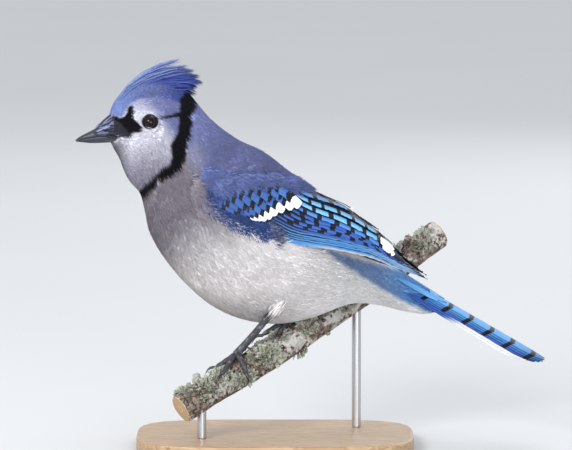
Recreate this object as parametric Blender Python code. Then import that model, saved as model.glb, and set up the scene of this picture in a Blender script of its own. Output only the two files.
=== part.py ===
# Blue jay, life size, gripping a cut length of branch on a plain display stand.
# Metres, +Z up. The bird faces -X and its left side is towards -Y.
# The origin is the centre of the stand base's underside.

import math

import bpy
import numpy as np
from mathutils import Matrix, Vector

MM = 0.001
GAP = 0.3 * MM  # left between pieces that touch
SIDE = {"left": -1.0, "right": 1.0}

# Body outline in mm: back line x, z, belly line x, z, and half width there.
HEAD_TO_VENT = [
    (-90.2, 177.4, -88.8, 165.6, 5.6),
    (-86.9, 187.0, -84.2, 158.0, 9.6),
    (-79.9, 194.6, -81.5, 151.0, 12.2),
    (-70.2, 199.9, -78.3, 145.0, 14.3),
    (-57.8, 200.5, -73.4, 139.6, 15.2),
    (-47.5, 193.0, -71.3, 134.1, 15.8),
    (-40.5, 184.6, -69.7, 126.5, 17.5),
    (-32.4, 175.7, -67.0, 116.2, 22.0),
    (-20.0, 166.7, -58.9, 102.6, 26.5),
    (-7.0, 160.7, -47.5, 89.1, 29.5),
    (6.5, 150.4, -32.9, 77.1, 30.5),
    (18.4, 141.2, -16.2, 70.0, 29.5),
    (27.0, 134.1, 2.7, 67.9, 27.0),
    (35.6, 124.3, 21.6, 71.7, 23.0),
    (44.3, 114.6, 40.5, 78.7, 17.0),
    (55.6, 104.8, 55.1, 78.2, 12.5),
    (65.3, 97.4, 68.6, 74.9, 9.5),
    (74.0, 91.6, 79.4, 72.8, 7.0),
    (83.7, 85.6, 86.9, 73.8, 4.0),
]
# The hull that the folded wings lie on: the body's, then the wings' own taper to their tips.
WING_HULL = HEAD_TO_VENT[:12] + [
    (27.0, 136.0, 0.0, 70.6, 28.5),
    (37.8, 130.6, 16.2, 73.8, 27.0),
    (47.0, 124.4, 32.4, 77.1, 25.0),
    (55.6, 118.0, 47.0, 80.4, 21.5),
    (63.7, 111.0, 59.4, 80.4, 17.0),
    (72.9, 103.5, 70.2, 80.4, 13.0),
    (82.6, 95.0, 81.0, 79.8, 10.0),
    (90.0, 90.0, 88.5, 79.3, 8.5),
]
BELLY_PINCH = 0.16  # how much narrower the lowest part of each section is
NECK_STARTS, TORSO_STARTS, TAIL_STARTS = 4.6, 6.6, 13.75  # stations of the cuts
BODY_SEGMENTS = 24


def material(name, colour, roughness, metallic=0.0):
    finish = bpy.data.materials.new(name)
    finish.use_nodes = True
    shader = finish.node_tree.nodes["Principled BSDF"]
    shader.inputs["Base Color"].default_value = (*colour, 1.0)
    shader.inputs["Roughness"].default_value = roughness
    shader.inputs["Metallic"].default_value = metallic
    finish.diffuse_color = (*colour, 1.0)
    return finish


def outward(made):
    """Turns a closed mesh's faces to point out."""
    mesh = made.data
    mesh.calc_loop_triangles()
    volume = 0.0
    for tri in mesh.loop_triangles:
        a, b, c = (mesh.vertices[i].co for i in tri.vertices)
        volume += a.dot(b.cross(c))
    if volume < 0:
        mesh.flip_normals()
    return made


def solid(name, points, faces, finish):
    mesh = bpy.data.meshes.new(name)
    mesh.from_pydata([tuple(p) for p in points], [], faces)
    mesh.validate()
    mesh.update()
    mesh.materials.append(finish)
    made = bpy.data.objects.new(name, mesh)
    bpy.context.scene.collection.objects.link(made)
    return outward(made)


def smooth(made, angle=40.0):
    made.data.shade_smooth()
    made.data.set_sharp_from_angle(angle=math.radians(angle))
    return made


def spline(table, place):
    """Catmull-Rom value of the table's columns at a place counted in rows."""
    rows = np.asarray(table, float)
    last = len(rows) - 1
    place = min(max(place, 0.0), float(last))
    i = min(int(place), last - 1)
    t = place - i
    before, here, there = rows[max(i - 1, 0)], rows[i], rows[i + 1]
    after = rows[min(i + 2, last)]
    slope_in, slope_out = (there - before) / 2, (after - here) / 2
    a = 2 * t**3 - 3 * t**2 + 1
    b = t**3 - 2 * t**2 + t
    c = -2 * t**3 + 3 * t**2
    d = t**3 - t**2
    return a * here + b * slope_in + c * there + d * slope_out


class Hull:
    """A body of flat oval sections, each standing on a line from back to belly."""

    def __init__(self, table):
        self.table = table

    def section(self, place):
        back_x, back_z, belly_x, belly_z, half_width = spline(self.table, place) * MM
        back, belly = Vector((back_x, 0, back_z)), Vector((belly_x, 0, belly_z))
        up = back - belly
        return (back + belly) / 2, up.normalized(), up.length / 2, half_width

    def point(self, place, angle, lift=0.0):
        """angle 0 is the back, 90 degrees the right side and 180 the belly."""
        centre, up, half_height, half_width = self.section(place)
        low = max(0.0, -math.cos(angle))
        half_width *= 1 - BELLY_PINCH * low * low
        across = Vector((0, math.sin(angle), 0))
        out = up * (math.cos(angle) / half_height) + across / half_width
        at = centre + up * half_height * math.cos(angle) + across * half_width
        return at + out.normalized() * lift

    def place_of(self, x, z):
        """The station whose section passes through x, z."""
        low, high = 0.0, float(len(self.table) - 1)
        for _ in range(40):
            middle = (low + high) / 2
            centre, up, _, _ = self.section(middle)
            behind = (x - centre.x) * up.z - (z - centre.z) * up.x
            low, high = (middle, high) if behind > 0 else (low, middle)
        return (low + high) / 2

    def onto(self, at, lift=0.0):
        """The hull's own point on the section through at, towards at."""
        place = self.place_of(at.x, at.z)
        centre, up, half_height, half_width = self.section(place)
        along = (at - centre).dot(up)
        angle = math.atan2(at.y / half_width, along / half_height)
        return self.point(place, angle, lift)

    def from_side(self, x, z, side, lift=0.0):
        """The hull's point that a side view shows at x, z, both in mm."""
        place = self.place_of(x * MM, z * MM)
        centre, up, half_height, _ = self.section(place)
        along = (Vector((x * MM, 0, z * MM)) - centre).dot(up) / half_height
        angle = math.acos(min(max(along, -0.995), 0.995))
        return self.point(place, side * angle, lift)


def loft(name, rings, finish):
    """A closed skin over rings of equal count, with a flat cap at each end."""
    count = len(rings[0])
    points = [p for ring in rings for p in ring]
    faces = [tuple(reversed(range(count)))]
    for row in range(len(rings) - 1):
        for i in range(count):
            j = (i + 1) % count
            a, b = row * count, (row + 1) * count
            faces.append((a + i, a + j, b + j, b + i))
    first = (len(rings) - 1) * count
    faces.append(tuple(range(first, first + count)))
    return solid(name, points, faces, finish)


def body_rings(hull, start, end, steps, lead=0.0, lift=0.0):
    """Rings lift above the hull between two stations, the first moved on by lead."""
    rings = []
    for step in range(steps + 1):
        place = start + (end - start) * step / steps
        _, up, _, _ = hull.section(place)
        ahead = Vector((up.z, 0, -up.x))
        shift = ahead * lead if step == 0 else Vector()
        ring = []
        for i in range(BODY_SEGMENTS):
            angle = -2 * math.pi * i / BODY_SEGMENTS
            ring.append(hull.point(place, angle, lift) + shift)
        rings.append(ring)
    return rings


def tube(name, line, radii, finish, sides=8, flatten=1.0, up=Vector((0, 0, 1))):
    """A tapered round bar along a line of points, closed at both ends."""
    rings = []
    for i, centre in enumerate(line):
        ahead = (line[min(i + 1, len(line) - 1)] - line[max(i - 1, 0)]).normalized()
        across = ahead.cross(up).normalized()
        over = across.cross(ahead)
        ring = []
        for k in range(sides):
            turn = -2 * math.pi * k / sides
            offset = across * math.cos(turn) * flatten + over * math.sin(turn)
            ring.append(centre + offset * radii[i])
        rings.append(ring)
    return smooth(loft(name, rings, finish))


def apply_boolean(target, operation, operand, solver="EXACT"):
    """Applies a Boolean of one object, or of a collection of them, to target."""
    change = target.modifiers.new("join", "BOOLEAN")
    change.operation = operation
    change.solver = solver
    if isinstance(operand, bpy.types.Collection):
        change.operand_type = "COLLECTION"
        change.collection = operand
    else:
        change.object = operand
    graph = bpy.context.evaluated_depsgraph_get()
    cut = bpy.data.meshes.new_from_object(target.evaluated_get(graph))
    target.modifiers.clear()
    target.data = cut


def keep_largest(target):
    """Leaves only the largest of the mesh's closed surfaces."""
    mesh = target.data
    owner = list(range(len(mesh.vertices)))

    def root(i):
        while owner[i] != i:
            owner[i] = owner[owner[i]]
            i = owner[i]
        return i

    for edge in mesh.edges:
        a, b = root(edge.vertices[0]), root(edge.vertices[1])
        owner[a] = b
    count = {}
    for i in range(len(owner)):
        count[root(i)] = count.get(root(i), 0) + 1
    if len(count) == 1:
        return
    best = max(count, key=count.get)
    kept = [i for i in range(len(owner)) if root(i) == best]
    new_index = {old: new for new, old in enumerate(kept)}
    points = [mesh.vertices[i].co[:] for i in kept]
    faces = [
        tuple(new_index[i] for i in face.vertices)
        for face in mesh.polygons
        if face.vertices[0] in new_index
    ]
    finish = mesh.materials[0]
    mesh = bpy.data.meshes.new(target.name)
    mesh.from_pydata(points, [], faces)
    mesh.materials.append(finish)
    target.data = mesh


def fuse(target, pieces, solver="EXACT"):
    """Joins the pieces to target with one union, and removes them."""
    group = bpy.data.collections.new("pieces of " + target.name)
    bpy.context.scene.collection.children.link(group)
    for piece in pieces:
        bpy.context.scene.collection.objects.unlink(piece)
        group.objects.link(piece)
    apply_boolean(target, "UNION", group, solver)
    for piece in pieces:
        bpy.data.objects.remove(piece)
    bpy.data.collections.remove(group)
    keep_largest(target)
    return target


def carve(target, cutters, solver="EXACT"):
    for cutter in cutters:
        apply_boolean(target, "DIFFERENCE", cutter, solver)
        bpy.data.objects.remove(cutter)
    keep_largest(target)
    return target


def sheet(name, rows, rows_under, finish):
    """A closed thin solid between two like grids of points, split alike."""
    across = len(rows[0])
    points = [p for row in rows for p in row] + [p for row in rows_under for p in row]
    under = len(rows) * across
    faces = []
    for r in range(len(rows) - 1):
        for c in range(across - 1):
            a = r * across + c
            b, d = a + 1, a + across
            faces += [(a, b, d), (b, d + 1, d)]
            faces += [(under + a, under + d, under + b)]
            faces += [(under + b, under + d, under + d + 1)]
    rim = [c for c in range(across)]
    rim += [r * across + across - 1 for r in range(1, len(rows))]
    last = (len(rows) - 1) * across
    rim += [last + c for c in range(across - 2, -1, -1)]
    rim += [r * across for r in range(len(rows) - 2, 0, -1)]
    for i, a in enumerate(rim):
        b = rim[(i + 1) % len(rim)]
        faces += [(a, under + a, b), (b, under + a, under + b)]
    return solid(name, points, faces, finish)


VANE_OUTLINE = [0.62, 0.96, 1.0, 0.34]  # half widths from root to tip
LONG_OUTLINE = [0.62, 0.9, 1.0, 0.95, 0.30]
VANE_THICK, VANE_EDGE = 0.6 * MM, 0.5 * MM  # at the shaft and at the edges
VANE_TIP_THICK = 0.35


def vane(at, half_width, finish, outline=VANE_OUTLINE, ribs=(-1, 1)):
    """A feather's flat blade. at(t, across) gives its under face's point and the way out."""
    rows, under = [], []
    for i, share in enumerate(outline):
        t = i / (len(outline) - 1)
        tip = VANE_TIP_THICK if i == len(outline) - 1 else 1.0
        row, low = [], []
        for rib in ribs:
            thick = (VANE_EDGE if rib and len(ribs) > 2 else VANE_THICK) * tip
            point, out = at(t, rib * share * half_width)
            row.append(point + out * thick)
            low.append(point)
        rows.append(row)
        under.append(low)
    return sheet("vane", rows, under, finish)


body_hull = Hull(HEAD_TO_VENT)
wing_hull = Hull(WING_HULL)

# Bill, in mm, from the face to its tip: its ridge, the line where it shuts and its keel in
# the side view, and its half width there.
CULMEN = [(-90.4, 176.3), (-94.5, 174.7), (-99.4, 172.3), (-104.0, 169.6), (-107.6, 167.0)]
MOUTH = [(-89.4, 170.0), (-93.8, 169.5), (-98.8, 168.7), (-103.6, 167.6), (-107.4, 166.7)]
KEEL = [(-88.8, 166.0), (-92.8, 165.6), (-98.3, 165.4), (-103.2, 165.9), (-107.0, 166.4)]
BILL_HALF_WIDTH = [4.7, 3.9, 2.9, 1.6, 0.35]
# A half's section: shares of its width and of its height over the line where it shuts
BILL_SECTION = [
    (0, 1), (0.5, 0.86), (0.88, 0.45), (1, 0.08), (0.8, 0),
    (-0.8, 0), (-1, 0.08), (-0.88, 0.45), (-0.5, 0.86),
]
NOSTRIL = (-92.6, 3.5, 173.0)  # mm: x, how far out, z
NOSTRIL_SIZE = (1.1 * MM, 0.6 * MM, 0.5 * MM)
GAPE_END = (-79.5, 166.9)  # mm, where the line of the mouth ends under the eye
GAPE_HEIGHT, GAPE_DEPTH = 0.5 * MM, 1.0 * MM
GAPE_LEAD = 1.0 * MM  # how far its slot starts before the bill's root

# Eyes
EYE_PLACE = (-67.0, 178.3)  # mm, x and z in the side view
EYE_RADIUS = 4.2 * MM
EYE_SUNK = 2.7 * MM  # its centre's depth below the face
LID_RADIUS, LID_THICKNESS = 3.5 * MM, 0.55 * MM
LID_SUNK = 0.1 * MM


def bill_half(name, ridge, edge, direction, finish):
    """One half of the bill. ridge is its outer line and edge the mouth line."""
    rings = []
    for i, half_width in enumerate(BILL_HALF_WIDTH):
        out = Vector((ridge[i][0], 0, ridge[i][1])) * MM
        shut = Vector((edge[i][0], 0, edge[i][1])) * MM
        shut.z += direction * GAP / 2
        deep = out - shut
        ring = []
        for side, share in BILL_SECTION:
            across = Vector((0, side * half_width * MM, 0))
            ring.append(shut + deep * share + across)
        rings.append(ring if direction < 0 else ring[::-1])
    rings[0] = [p + Vector((-GAP, 0, 0)) for p in rings[0]]
    return smooth(loft(name, rings, finish))


def make_bill(horn):
    upper = bill_half("bill_upper", CULMEN, MOUTH, 1, horn)
    bill_half("bill_lower", KEEL, MOUTH, -1, horn)
    pits = []
    for side in SIDE.values():
        bpy.ops.mesh.primitive_ico_sphere_add(subdivisions=1, radius=1)
        pit = bpy.context.object
        pit.scale = NOSTRIL_SIZE
        x, out, z = NOSTRIL
        pit.location = Vector((x, side * out, z)) * MM
        pits.append(pit)
    carve(upper, pits)


def eye_spot(side):
    """Where the face would be over the eye, and the way out from it."""
    on_face = body_hull.from_side(*EYE_PLACE, side)
    above = body_hull.from_side(*EYE_PLACE, side, 1 * MM)
    return on_face, (above - on_face).normalized()


def ball(name, radius, at, finish, rings=10, segments=18):
    bpy.ops.mesh.primitive_uv_sphere_add(radius=radius, ring_count=rings, segments=segments)
    made = bpy.context.object
    made.name = name
    made.data.materials.append(finish)
    made.location = at
    return smooth(made)


def make_lid(side, finish):
    on_face, out = eye_spot(side)
    bpy.ops.mesh.primitive_torus_add(
        major_radius=LID_RADIUS, minor_radius=LID_THICKNESS, major_segments=16, minor_segments=5
    )
    lid = bpy.context.object
    lid.rotation_euler = out.to_track_quat("Z", "Y").to_euler()
    lid.location = on_face - out * LID_SUNK
    lid.data.materials.append(finish)
    return lid


def mouth_slots(finish):
    """Cutters for the line of the mouth on the sides of the face."""
    slots = []
    for side in SIDE.values():
        start = body_hull.from_side(*MOUTH[0], side)
        start.x -= GAPE_LEAD
        end = body_hull.from_side(*GAPE_END, side)
        middle = (start + end) / 2
        ahead = (end - start).normalized()
        across = Vector((0, side, 0))
        across = (across - ahead * across.dot(ahead)).normalized()
        over = ahead.cross(across)
        corners = []
        for along in (-0.5, 0.5):
            for deep in (-GAPE_DEPTH, 2 * GAPE_DEPTH):
                for high in (-0.5, 0.5):
                    reach = ahead * (end - start).length * along
                    corners.append(middle + reach + across * deep + over * GAPE_HEIGHT * high)
        faces = [(0, 1, 3, 2), (4, 6, 7, 5), (0, 4, 5, 1), (2, 3, 7, 6), (0, 2, 6, 4), (1, 5, 7, 3)]
        if ahead.cross(across).dot(over) * side < 0:
            faces = [f[::-1] for f in faces]
        slot = solid("slot", corners, faces, finish)
        slots.append(slot)
    return slots


# Crest: tips of its middle feathers in the side view from the top one down, in mm.
CREST_TIPS = [
    (-50.2, 210.7), (-46.6, 207.6), (-44.6, 204.8), (-42.6, 201.6), (-39.6, 198.2), (-40.6, 193.6),
]
CREST_ROOT_PLACES = (1.3, 4.3)  # stations of the first and the last feather's root
CREST_ROOT_DEPTH = 1.6 * MM
CREST_HALF_WIDTH = 2.5 * MM
CREST_ROWS = {0: (0.0, 5.0, 5), 1: (0.4, 4.6, 4), 2: (1.4, 4.8, 3)}  # first, last, count
CREST_ROOT_SPREAD, CREST_TIP_SPREAD = 3.1 * MM, 1.5 * MM  # from one row to the next
CREST_LEAN = math.radians(33.0)  # how much each row's feathers turn to the side
CREST_ARCH, CREST_ROW_DROP = 1.8 * MM, 0.6 * MM  # rise at the bend, fall of each row's tips


def crest_feather(row, order):
    """The line of a crest feather's shaft: root, bend and tip."""
    share = order / (len(CREST_TIPS) - 1)
    place = CREST_ROOT_PLACES[0] + (CREST_ROOT_PLACES[1] - CREST_ROOT_PLACES[0]) * share
    angle = row * CREST_ROOT_SPREAD / body_hull.section(place)[3]
    root = body_hull.point(place, angle, -CREST_ROOT_DEPTH)
    ahead = (body_hull.point(place + 0.15, angle) - body_hull.point(place, angle)).normalized()
    x, z = spline(CREST_TIPS, order)
    tip = Vector((x * MM, row * CREST_TIP_SPREAD, z * MM - abs(row) * CREST_ROW_DROP))
    bend = root + ahead * (tip - root).length / 2 + Vector((0, 0, CREST_ARCH))
    return root, bend, tip


def make_crest(finish):
    vanes = []
    for size, (first, last, count) in CREST_ROWS.items():
        for row in {size, -size}:
            for i in range(count):
                root, bend, tip = crest_feather(row, first + (last - first) * i / (count - 1))

                def at(t, across, root=root, bend=bend, tip=tip, row=row):
                    point = root * (1 - t) ** 2 + bend * 2 * t * (1 - t) + tip * t * t
                    ahead = ((bend - root) * (1 - t) + (tip - bend) * t).normalized()
                    side = Vector((0, 1, 0))
                    side = (side - ahead * side.dot(ahead)).normalized()
                    side = Matrix.Rotation(row * CREST_LEAN, 3, ahead) @ side
                    return point + side * across, ahead.cross(side) * -1

                vanes.append(vane(at, CREST_HALF_WIDTH, finish, LONG_OUTLINE))
    return vanes


def make_head(feather):
    rings = body_rings(body_hull, 0.0, NECK_STARTS, 13)
    head = loft("head", rings, feather)
    lids = [make_lid(side, feather) for side in SIDE.values()]
    fuse(head, make_crest(feather) + lids)
    neck_room = body_rings(body_hull, NECK_STARTS, TORSO_STARTS, 5, GAP / 2, GAP * 1.3)
    cutters = [loft("clearance", neck_room, feather)] + mouth_slots(feather)
    for side in SIDE.values():
        on_face, out = eye_spot(side)
        at = on_face - out * EYE_SUNK
        cutters.append(ball("socket", EYE_RADIUS + GAP, at, feather, 8, 14))
    carve(head, cutters)
    return smooth(head)


def make_eyes(finish):
    for name, side in SIDE.items():
        on_face, out = eye_spot(side)
        ball("eye_" + name, EYE_RADIUS, on_face - out * EYE_SUNK, finish, 8, 14)


def make_neck(feather):
    rings = body_rings(body_hull, NECK_STARTS, TORSO_STARTS, 5, GAP)
    return smooth(loft("neck", rings, feather))


# Perch: a slightly bent length of branch that rises to the right and away.
PERCH_MIDDLE = Vector((-1.1, 0.0, 52.0)) * MM  # between the feet
PERCH_RISE, PERCH_YAW = 0.593, math.radians(27.0)
PERCH_RADIUS = 8.4 * MM
PERCH_BACK, PERCH_AHEAD = 62.0 * MM, 118.0 * MM  # from the middle to each end
PERCH_BEND = 5.0 * MM  # how far the upper end lifts from a straight line
PERCH_SIDES, PERCH_STEPS = 14, 20
perch_ahead = Vector((1.0, math.tan(PERCH_YAW), PERCH_RISE)).normalized()
perch_across = perch_ahead.cross(Vector((0, 0, 1))).normalized()
perch_over = perch_across.cross(perch_ahead)


def perch_centre(along):
    share = along / PERCH_AHEAD
    return PERCH_MIDDLE + perch_ahead * along + perch_over * PERCH_BEND * share * share


def perch_radius(along, turn):
    """The bark's radius: an uneven oval with low swellings along it."""
    swell = 0.035 * math.sin(along * 95 + 1.3) + 0.03 * math.sin(2 * turn + along * 40)
    swell += 0.02 * math.sin(3 * turn - along * 150)
    return PERCH_RADIUS * (1 + swell)


def perch_point(along, turn, lift=0.0):
    """turn 0 is the top of the branch and positive turns go to the far side."""
    out = perch_over * math.cos(turn) - perch_across * math.sin(turn)
    return perch_centre(along) + out * (perch_radius(along, turn) + lift)


def make_perch_bar(name, finish, lift=0.0, ends=0.0):
    rings = []
    whole = PERCH_BACK + PERCH_AHEAD + 2 * ends
    for step in range(PERCH_STEPS + 1):
        along = -PERCH_BACK - ends + whole * step / PERCH_STEPS
        turns = [2 * math.pi * k / PERCH_SIDES for k in range(PERCH_SIDES)]
        rings.append([perch_point(along, turn, lift) for turn in turns])
    return loft(name, rings, finish)


def perch_clearance(finish):
    """A cutter for what would touch the branch."""
    return make_perch_bar("clearance", finish, GAP * 1.6, 6 * MM)


# Side twigs cut short: place along the branch, turn round it, length and radius, in mm.
TWIG_STUBS = [(-44.0, 70.0, 9.0, 2.3), (34.0, 140.0, 8.0, 1.9), (92.0, -40.0, 9.0, 2.2)]
TWIG_LEAN = 0.45  # how far a stub leans up the branch, of its length
TWIG_ROOT_DEPTH = 4.0 * MM
ROD_RADIUS = 2.5 * MM
ROD_PLACES = [-38.0 * MM, 46.0 * MM]  # along x from the perch's middle
ROD_SUNK = 4.0 * MM  # how deep a rod goes into the branch
HOLE_REACH = 30.0 * MM  # how far below a rod's top its hole's cutter starts
BASE_LENGTH, BASE_WIDTH, BASE_HEIGHT = 150.0 * MM, 104.0 * MM, 7.5 * MM
BASE_SQUARENESS = 4  # 2 would be an ellipse
BASE_BEVEL = 1.2 * MM


def rod_spot(offset):
    """The branch's centre above a rod, and the rod's top."""
    along = offset / perch_ahead.x
    centre = perch_centre(along)
    top = centre.z - PERCH_RADIUS / perch_over.z + ROD_SUNK
    return centre, top


def upright(name, x, y, low, high, radius, finish, sides=20):
    bpy.ops.mesh.primitive_cylinder_add(
        vertices=sides, radius=radius, depth=high - low, location=(x, y, (low + high) / 2)
    )
    made = bpy.context.object
    made.name = name
    made.data.materials.append(finish)
    return smooth(made)


def make_perch(wood):
    perch = make_perch_bar("perch", wood)
    stubs = []
    for along, turn, length, radius in TWIG_STUBS:
        turn = math.radians(turn)
        foot = perch_point(along * MM, turn, -TWIG_ROOT_DEPTH)
        tip = perch_point((along + TWIG_LEAN * length) * MM, turn, length * MM)
        line = [foot, foot.lerp(tip, 0.45), tip]
        radii = [radius * MM * share for share in (1.35, 1.0, 0.85)]
        stubs.append(tube("stub", line, radii, wood, 8))
    fuse(perch, stubs)
    holes = []
    for offset in ROD_PLACES:
        centre, top = rod_spot(offset)
        low, wide = top - HOLE_REACH, ROD_RADIUS + GAP
        holes.append(upright("hole", centre.x, centre.y, low, top + GAP, wide, wood))
    carve(perch, holes)
    return smooth(perch, 50)


def make_stand(wood, metal):
    bpy.ops.mesh.primitive_cylinder_add(vertices=48, radius=1, depth=1)
    base = bpy.context.object
    base.name = "stand_base"
    for vertex in base.data.vertices:
        turn = math.atan2(vertex.co.y, vertex.co.x)
        c, s = math.cos(turn), math.sin(turn)
        reach = (abs(c) ** BASE_SQUARENESS + abs(s) ** BASE_SQUARENESS) ** (-1 / BASE_SQUARENESS)
        vertex.co.x = reach * c * BASE_LENGTH / 2
        vertex.co.y = reach * s * BASE_WIDTH / 2
        vertex.co.z *= BASE_HEIGHT
    base.location = (0, 0, BASE_HEIGHT / 2)
    base.data.materials.append(wood)
    edge = base.modifiers.new("rounded rim", "BEVEL")
    edge.width = BASE_BEVEL
    edge.segments = 2
    edge.limit_method = "ANGLE"
    edge.angle_limit = math.radians(40)
    smooth(base)
    for name, offset in zip(("stand_rod_front", "stand_rod_back"), ROD_PLACES):
        centre, top = rod_spot(offset)
        upright(name, centre.x, centre.y, BASE_HEIGHT + GAP, top, ROD_RADIUS, metal)


# Legs: where the ankle and the foot are in the side view, in mm, and how far out.
ANKLE = {"left": (4.2, 83.0, 18.0), "right": (24.0, 88.0, 15.0)}
FOOT_ALONG = {"left": -19.5 * MM, "right": 17.0 * MM}  # along the branch
TARSUS_RADIUS = 1.75 * MM
TARSUS_STEPS = 12  # scutes down the front, every other one a little slimmer
SCUTE_SLIMMER = 0.94
TOE_RADIUS, TOE_TIP_RADIUS = 1.65 * MM, 1.15 * MM
# Toes: direction from the foot in degrees, 0 down the branch and 90 to the near side,
# then the toe's length and its claw's, in mm.
TOES = {
    "inner": (-26.0, 14.0, 6.5),
    "middle": (10.0, 18.0, 7.0),
    "outer": (60.0, 15.5, 6.5),
    "hind": (206.0, 11.0, 8.0),
}
FOOT_TURN = {"left": 16.0, "right": 2.0}  # degrees, added to each toe's direction
PALM_RADIUS = 2.1 * MM
TOE_STEPS, CLAW_STEPS = 6, 5
CLAW_RADIUS = 0.95 * MM
PERCH_GAP = GAP + 0.15 * MM  # feet keep this far off the bark's facets


def toe_line(side_name, toe, start, end, steps, lift):
    """Points of a toe's middle on the branch, lift above the bark."""
    side = SIDE[side_name]
    direction = math.radians(TOES[toe][0] + FOOT_TURN[side_name])
    points = []
    for step in range(steps + 1):
        reach = start + (end - start) * step / steps
        along = FOOT_ALONG[side_name] - reach * math.cos(direction)
        turn = side * reach * math.sin(direction) / (PERCH_RADIUS + TOE_RADIUS)
        points.append(perch_point(along, turn, lift(step / steps)))
    return points


def palm_middle(name):
    return perch_point(FOOT_ALONG[name], 0.0, PERCH_GAP + TOE_RADIUS)


def make_leg(name, side, scaly, foot_lines):
    foot_top = palm_middle(name)
    x, z, y = ANKLE[name]
    ankle = Vector((x, side * y, z)) * MM
    line, radii = [], []
    for i in range(TARSUS_STEPS + 1):
        t = i / TARSUS_STEPS
        line.append(foot_top.lerp(ankle, t))
        step = 1.0 if i % 2 else SCUTE_SLIMMER
        flare = 0.35 * (1 - t) ** 6 + 0.3 * t**5
        radii.append(TARSUS_RADIUS * (1 + flare) * step)
    leg = tube("leg_" + name, line, radii, scaly, 8)
    cutters = [clearance(toe, sizes, scaly) for toe, sizes in foot_lines]
    cutters.append(ball("clearance", PALM_RADIUS + GAP * 1.3, foot_top, scaly, 8, 14))
    smooth(carve(leg, cutters))
    return line, radii


def clearance(line, radii, finish):
    """A cutter a gap wider and longer than the tube along this line."""
    before = line[0] + (line[0] - line[1]).normalized() * GAP * 1.5
    beyond = line[-1] + (line[-1] - line[-2]).normalized() * GAP * 1.5
    wide = [radius + GAP * 1.5 for radius in radii]
    path = [before] + line[1:-1] + [beyond]
    return tube("clearance", path, wide, finish, 10)


def make_foot(name, side, scaly, horn):
    pads, lines = [], []
    for toe, (_, length, claw) in TOES.items():
        reach = length * MM
        lift = lambda t: PERCH_GAP + TOE_RADIUS + (TOE_TIP_RADIUS - TOE_RADIUS) * t
        line = toe_line(name, toe, 0.0, reach, TOE_STEPS, lift)
        radii = []
        for i in range(TOE_STEPS + 1):
            t = i / TOE_STEPS
            pad = 0.08 * math.cos(t * math.pi * 5)
            radii.append((TOE_RADIUS + (TOE_TIP_RADIUS - TOE_RADIUS) * t) * (1 + pad) * 0.93)
        pads.append(tube("toe", line, radii, scaly, 7))
        hook = lambda t: PERCH_GAP + CLAW_RADIUS * 0.9 + 1.5 * MM * math.sin(math.pi * t) * (1 - 0.3 * t)
        first = reach + 0.3 * MM
        points = toe_line(name, toe, first, first + claw * MM, CLAW_STEPS, hook)
        points[0] = line[-1] + (line[-1] - line[-2]).normalized() * GAP * 1.1
        sizes = [CLAW_RADIUS * (1 - 0.86 * (i / CLAW_STEPS)) for i in range(CLAW_STEPS + 1)]
        tube(f"claw_{name}_{toe}", points, sizes, horn, 6)
        lines += [(line, radii), (points, sizes)]
    top = palm_middle(name)
    palm = ball("palm", PALM_RADIUS, top, scaly, 6, 10)
    foot = pads[0]
    foot.name = "foot_" + name
    fuse(foot, pads[1:] + [palm])
    smooth(foot)
    return lines


def make_torso(feather, wood, leg_lines):
    rings = body_rings(body_hull, TORSO_STARTS, TAIL_STARTS, 15, GAP)
    torso = loft("torso", rings, feather)
    cutters = [perch_clearance(wood)]
    cutters += [clearance(line, radii, wood) for line, radii in leg_lines]
    carve(torso, cutters)
    return smooth(torso)


# Tail: the line that its middle feathers lie on, then how it tents and tilts.
TAIL_ROOT = Vector((50.0, 0, 103.6)) * MM
TAIL_TIP = Vector((146.0, 0, 48.0)) * MM
TAIL_ROLL = math.radians(11.0)  # its near side turns down
TAIL_TENT = 15.0  # 1/m, how fast its sides fall, beside the feathers' own steps
RECTRIX_PAIRS = 6
RECTRIX_STEP = 0.5 * MM  # each pair lies this much under the one before
RECTRIX_SPACING, RECTRIX_FIRST = 1.6 * MM, 1.5 * MM
RECTRIX_HALF_WIDTH = 4.3 * MM
RECTRIX_SHORTER = 0.0075  # of the tail's length, times the pair's number squared
RECTRIX_OUTLINE = [0.55, 0.68, 0.8, 0.9, 1.0, 1.0, 0.92, 0.42]
tail_ahead = (TAIL_TIP - TAIL_ROOT).normalized()
tail_length = (TAIL_TIP - TAIL_ROOT).length
tail_side = Matrix.Rotation(TAIL_ROLL, 3, tail_ahead) @ Vector((0, 1, 0))
tail_up = tail_ahead.cross(tail_side)


def tail_point(t, across, lift=0.0):
    """t runs 0 to 1 along the tail; across is signed towards the right side."""
    drop = TAIL_TENT * across * across
    at = TAIL_ROOT + tail_ahead * tail_length * t + tail_side * across
    return at + tail_up * (lift - drop)


def make_rectrices(finish):
    vanes = []
    for pair in range(RECTRIX_PAIRS):
        end = 1 - RECTRIX_SHORTER * pair * pair
        for side in SIDE.values():

            def at(t, across, pair=pair, side=side, end=end):
                middle = (RECTRIX_FIRST + RECTRIX_SPACING * pair) * (0.55 + 0.45 * t)
                point = tail_point(t * end, side * middle + across, -RECTRIX_STEP * pair)
                return point, tail_up

            ribs = (-1, 0, 1) if pair == 0 else (-1, 1)
            vanes.append(vane(at, RECTRIX_HALF_WIDTH, finish, RECTRIX_OUTLINE, ribs))
    return vanes


def make_tail(feather, wood):
    rings = body_rings(body_hull, TAIL_STARTS, len(HEAD_TO_VENT) - 1.0, 9, GAP)
    tail = loft("tail", rings, feather)
    fuse(tail, make_rectrices(feather))
    carve(tail, [perch_clearance(wood)])
    return smooth(tail)


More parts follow.
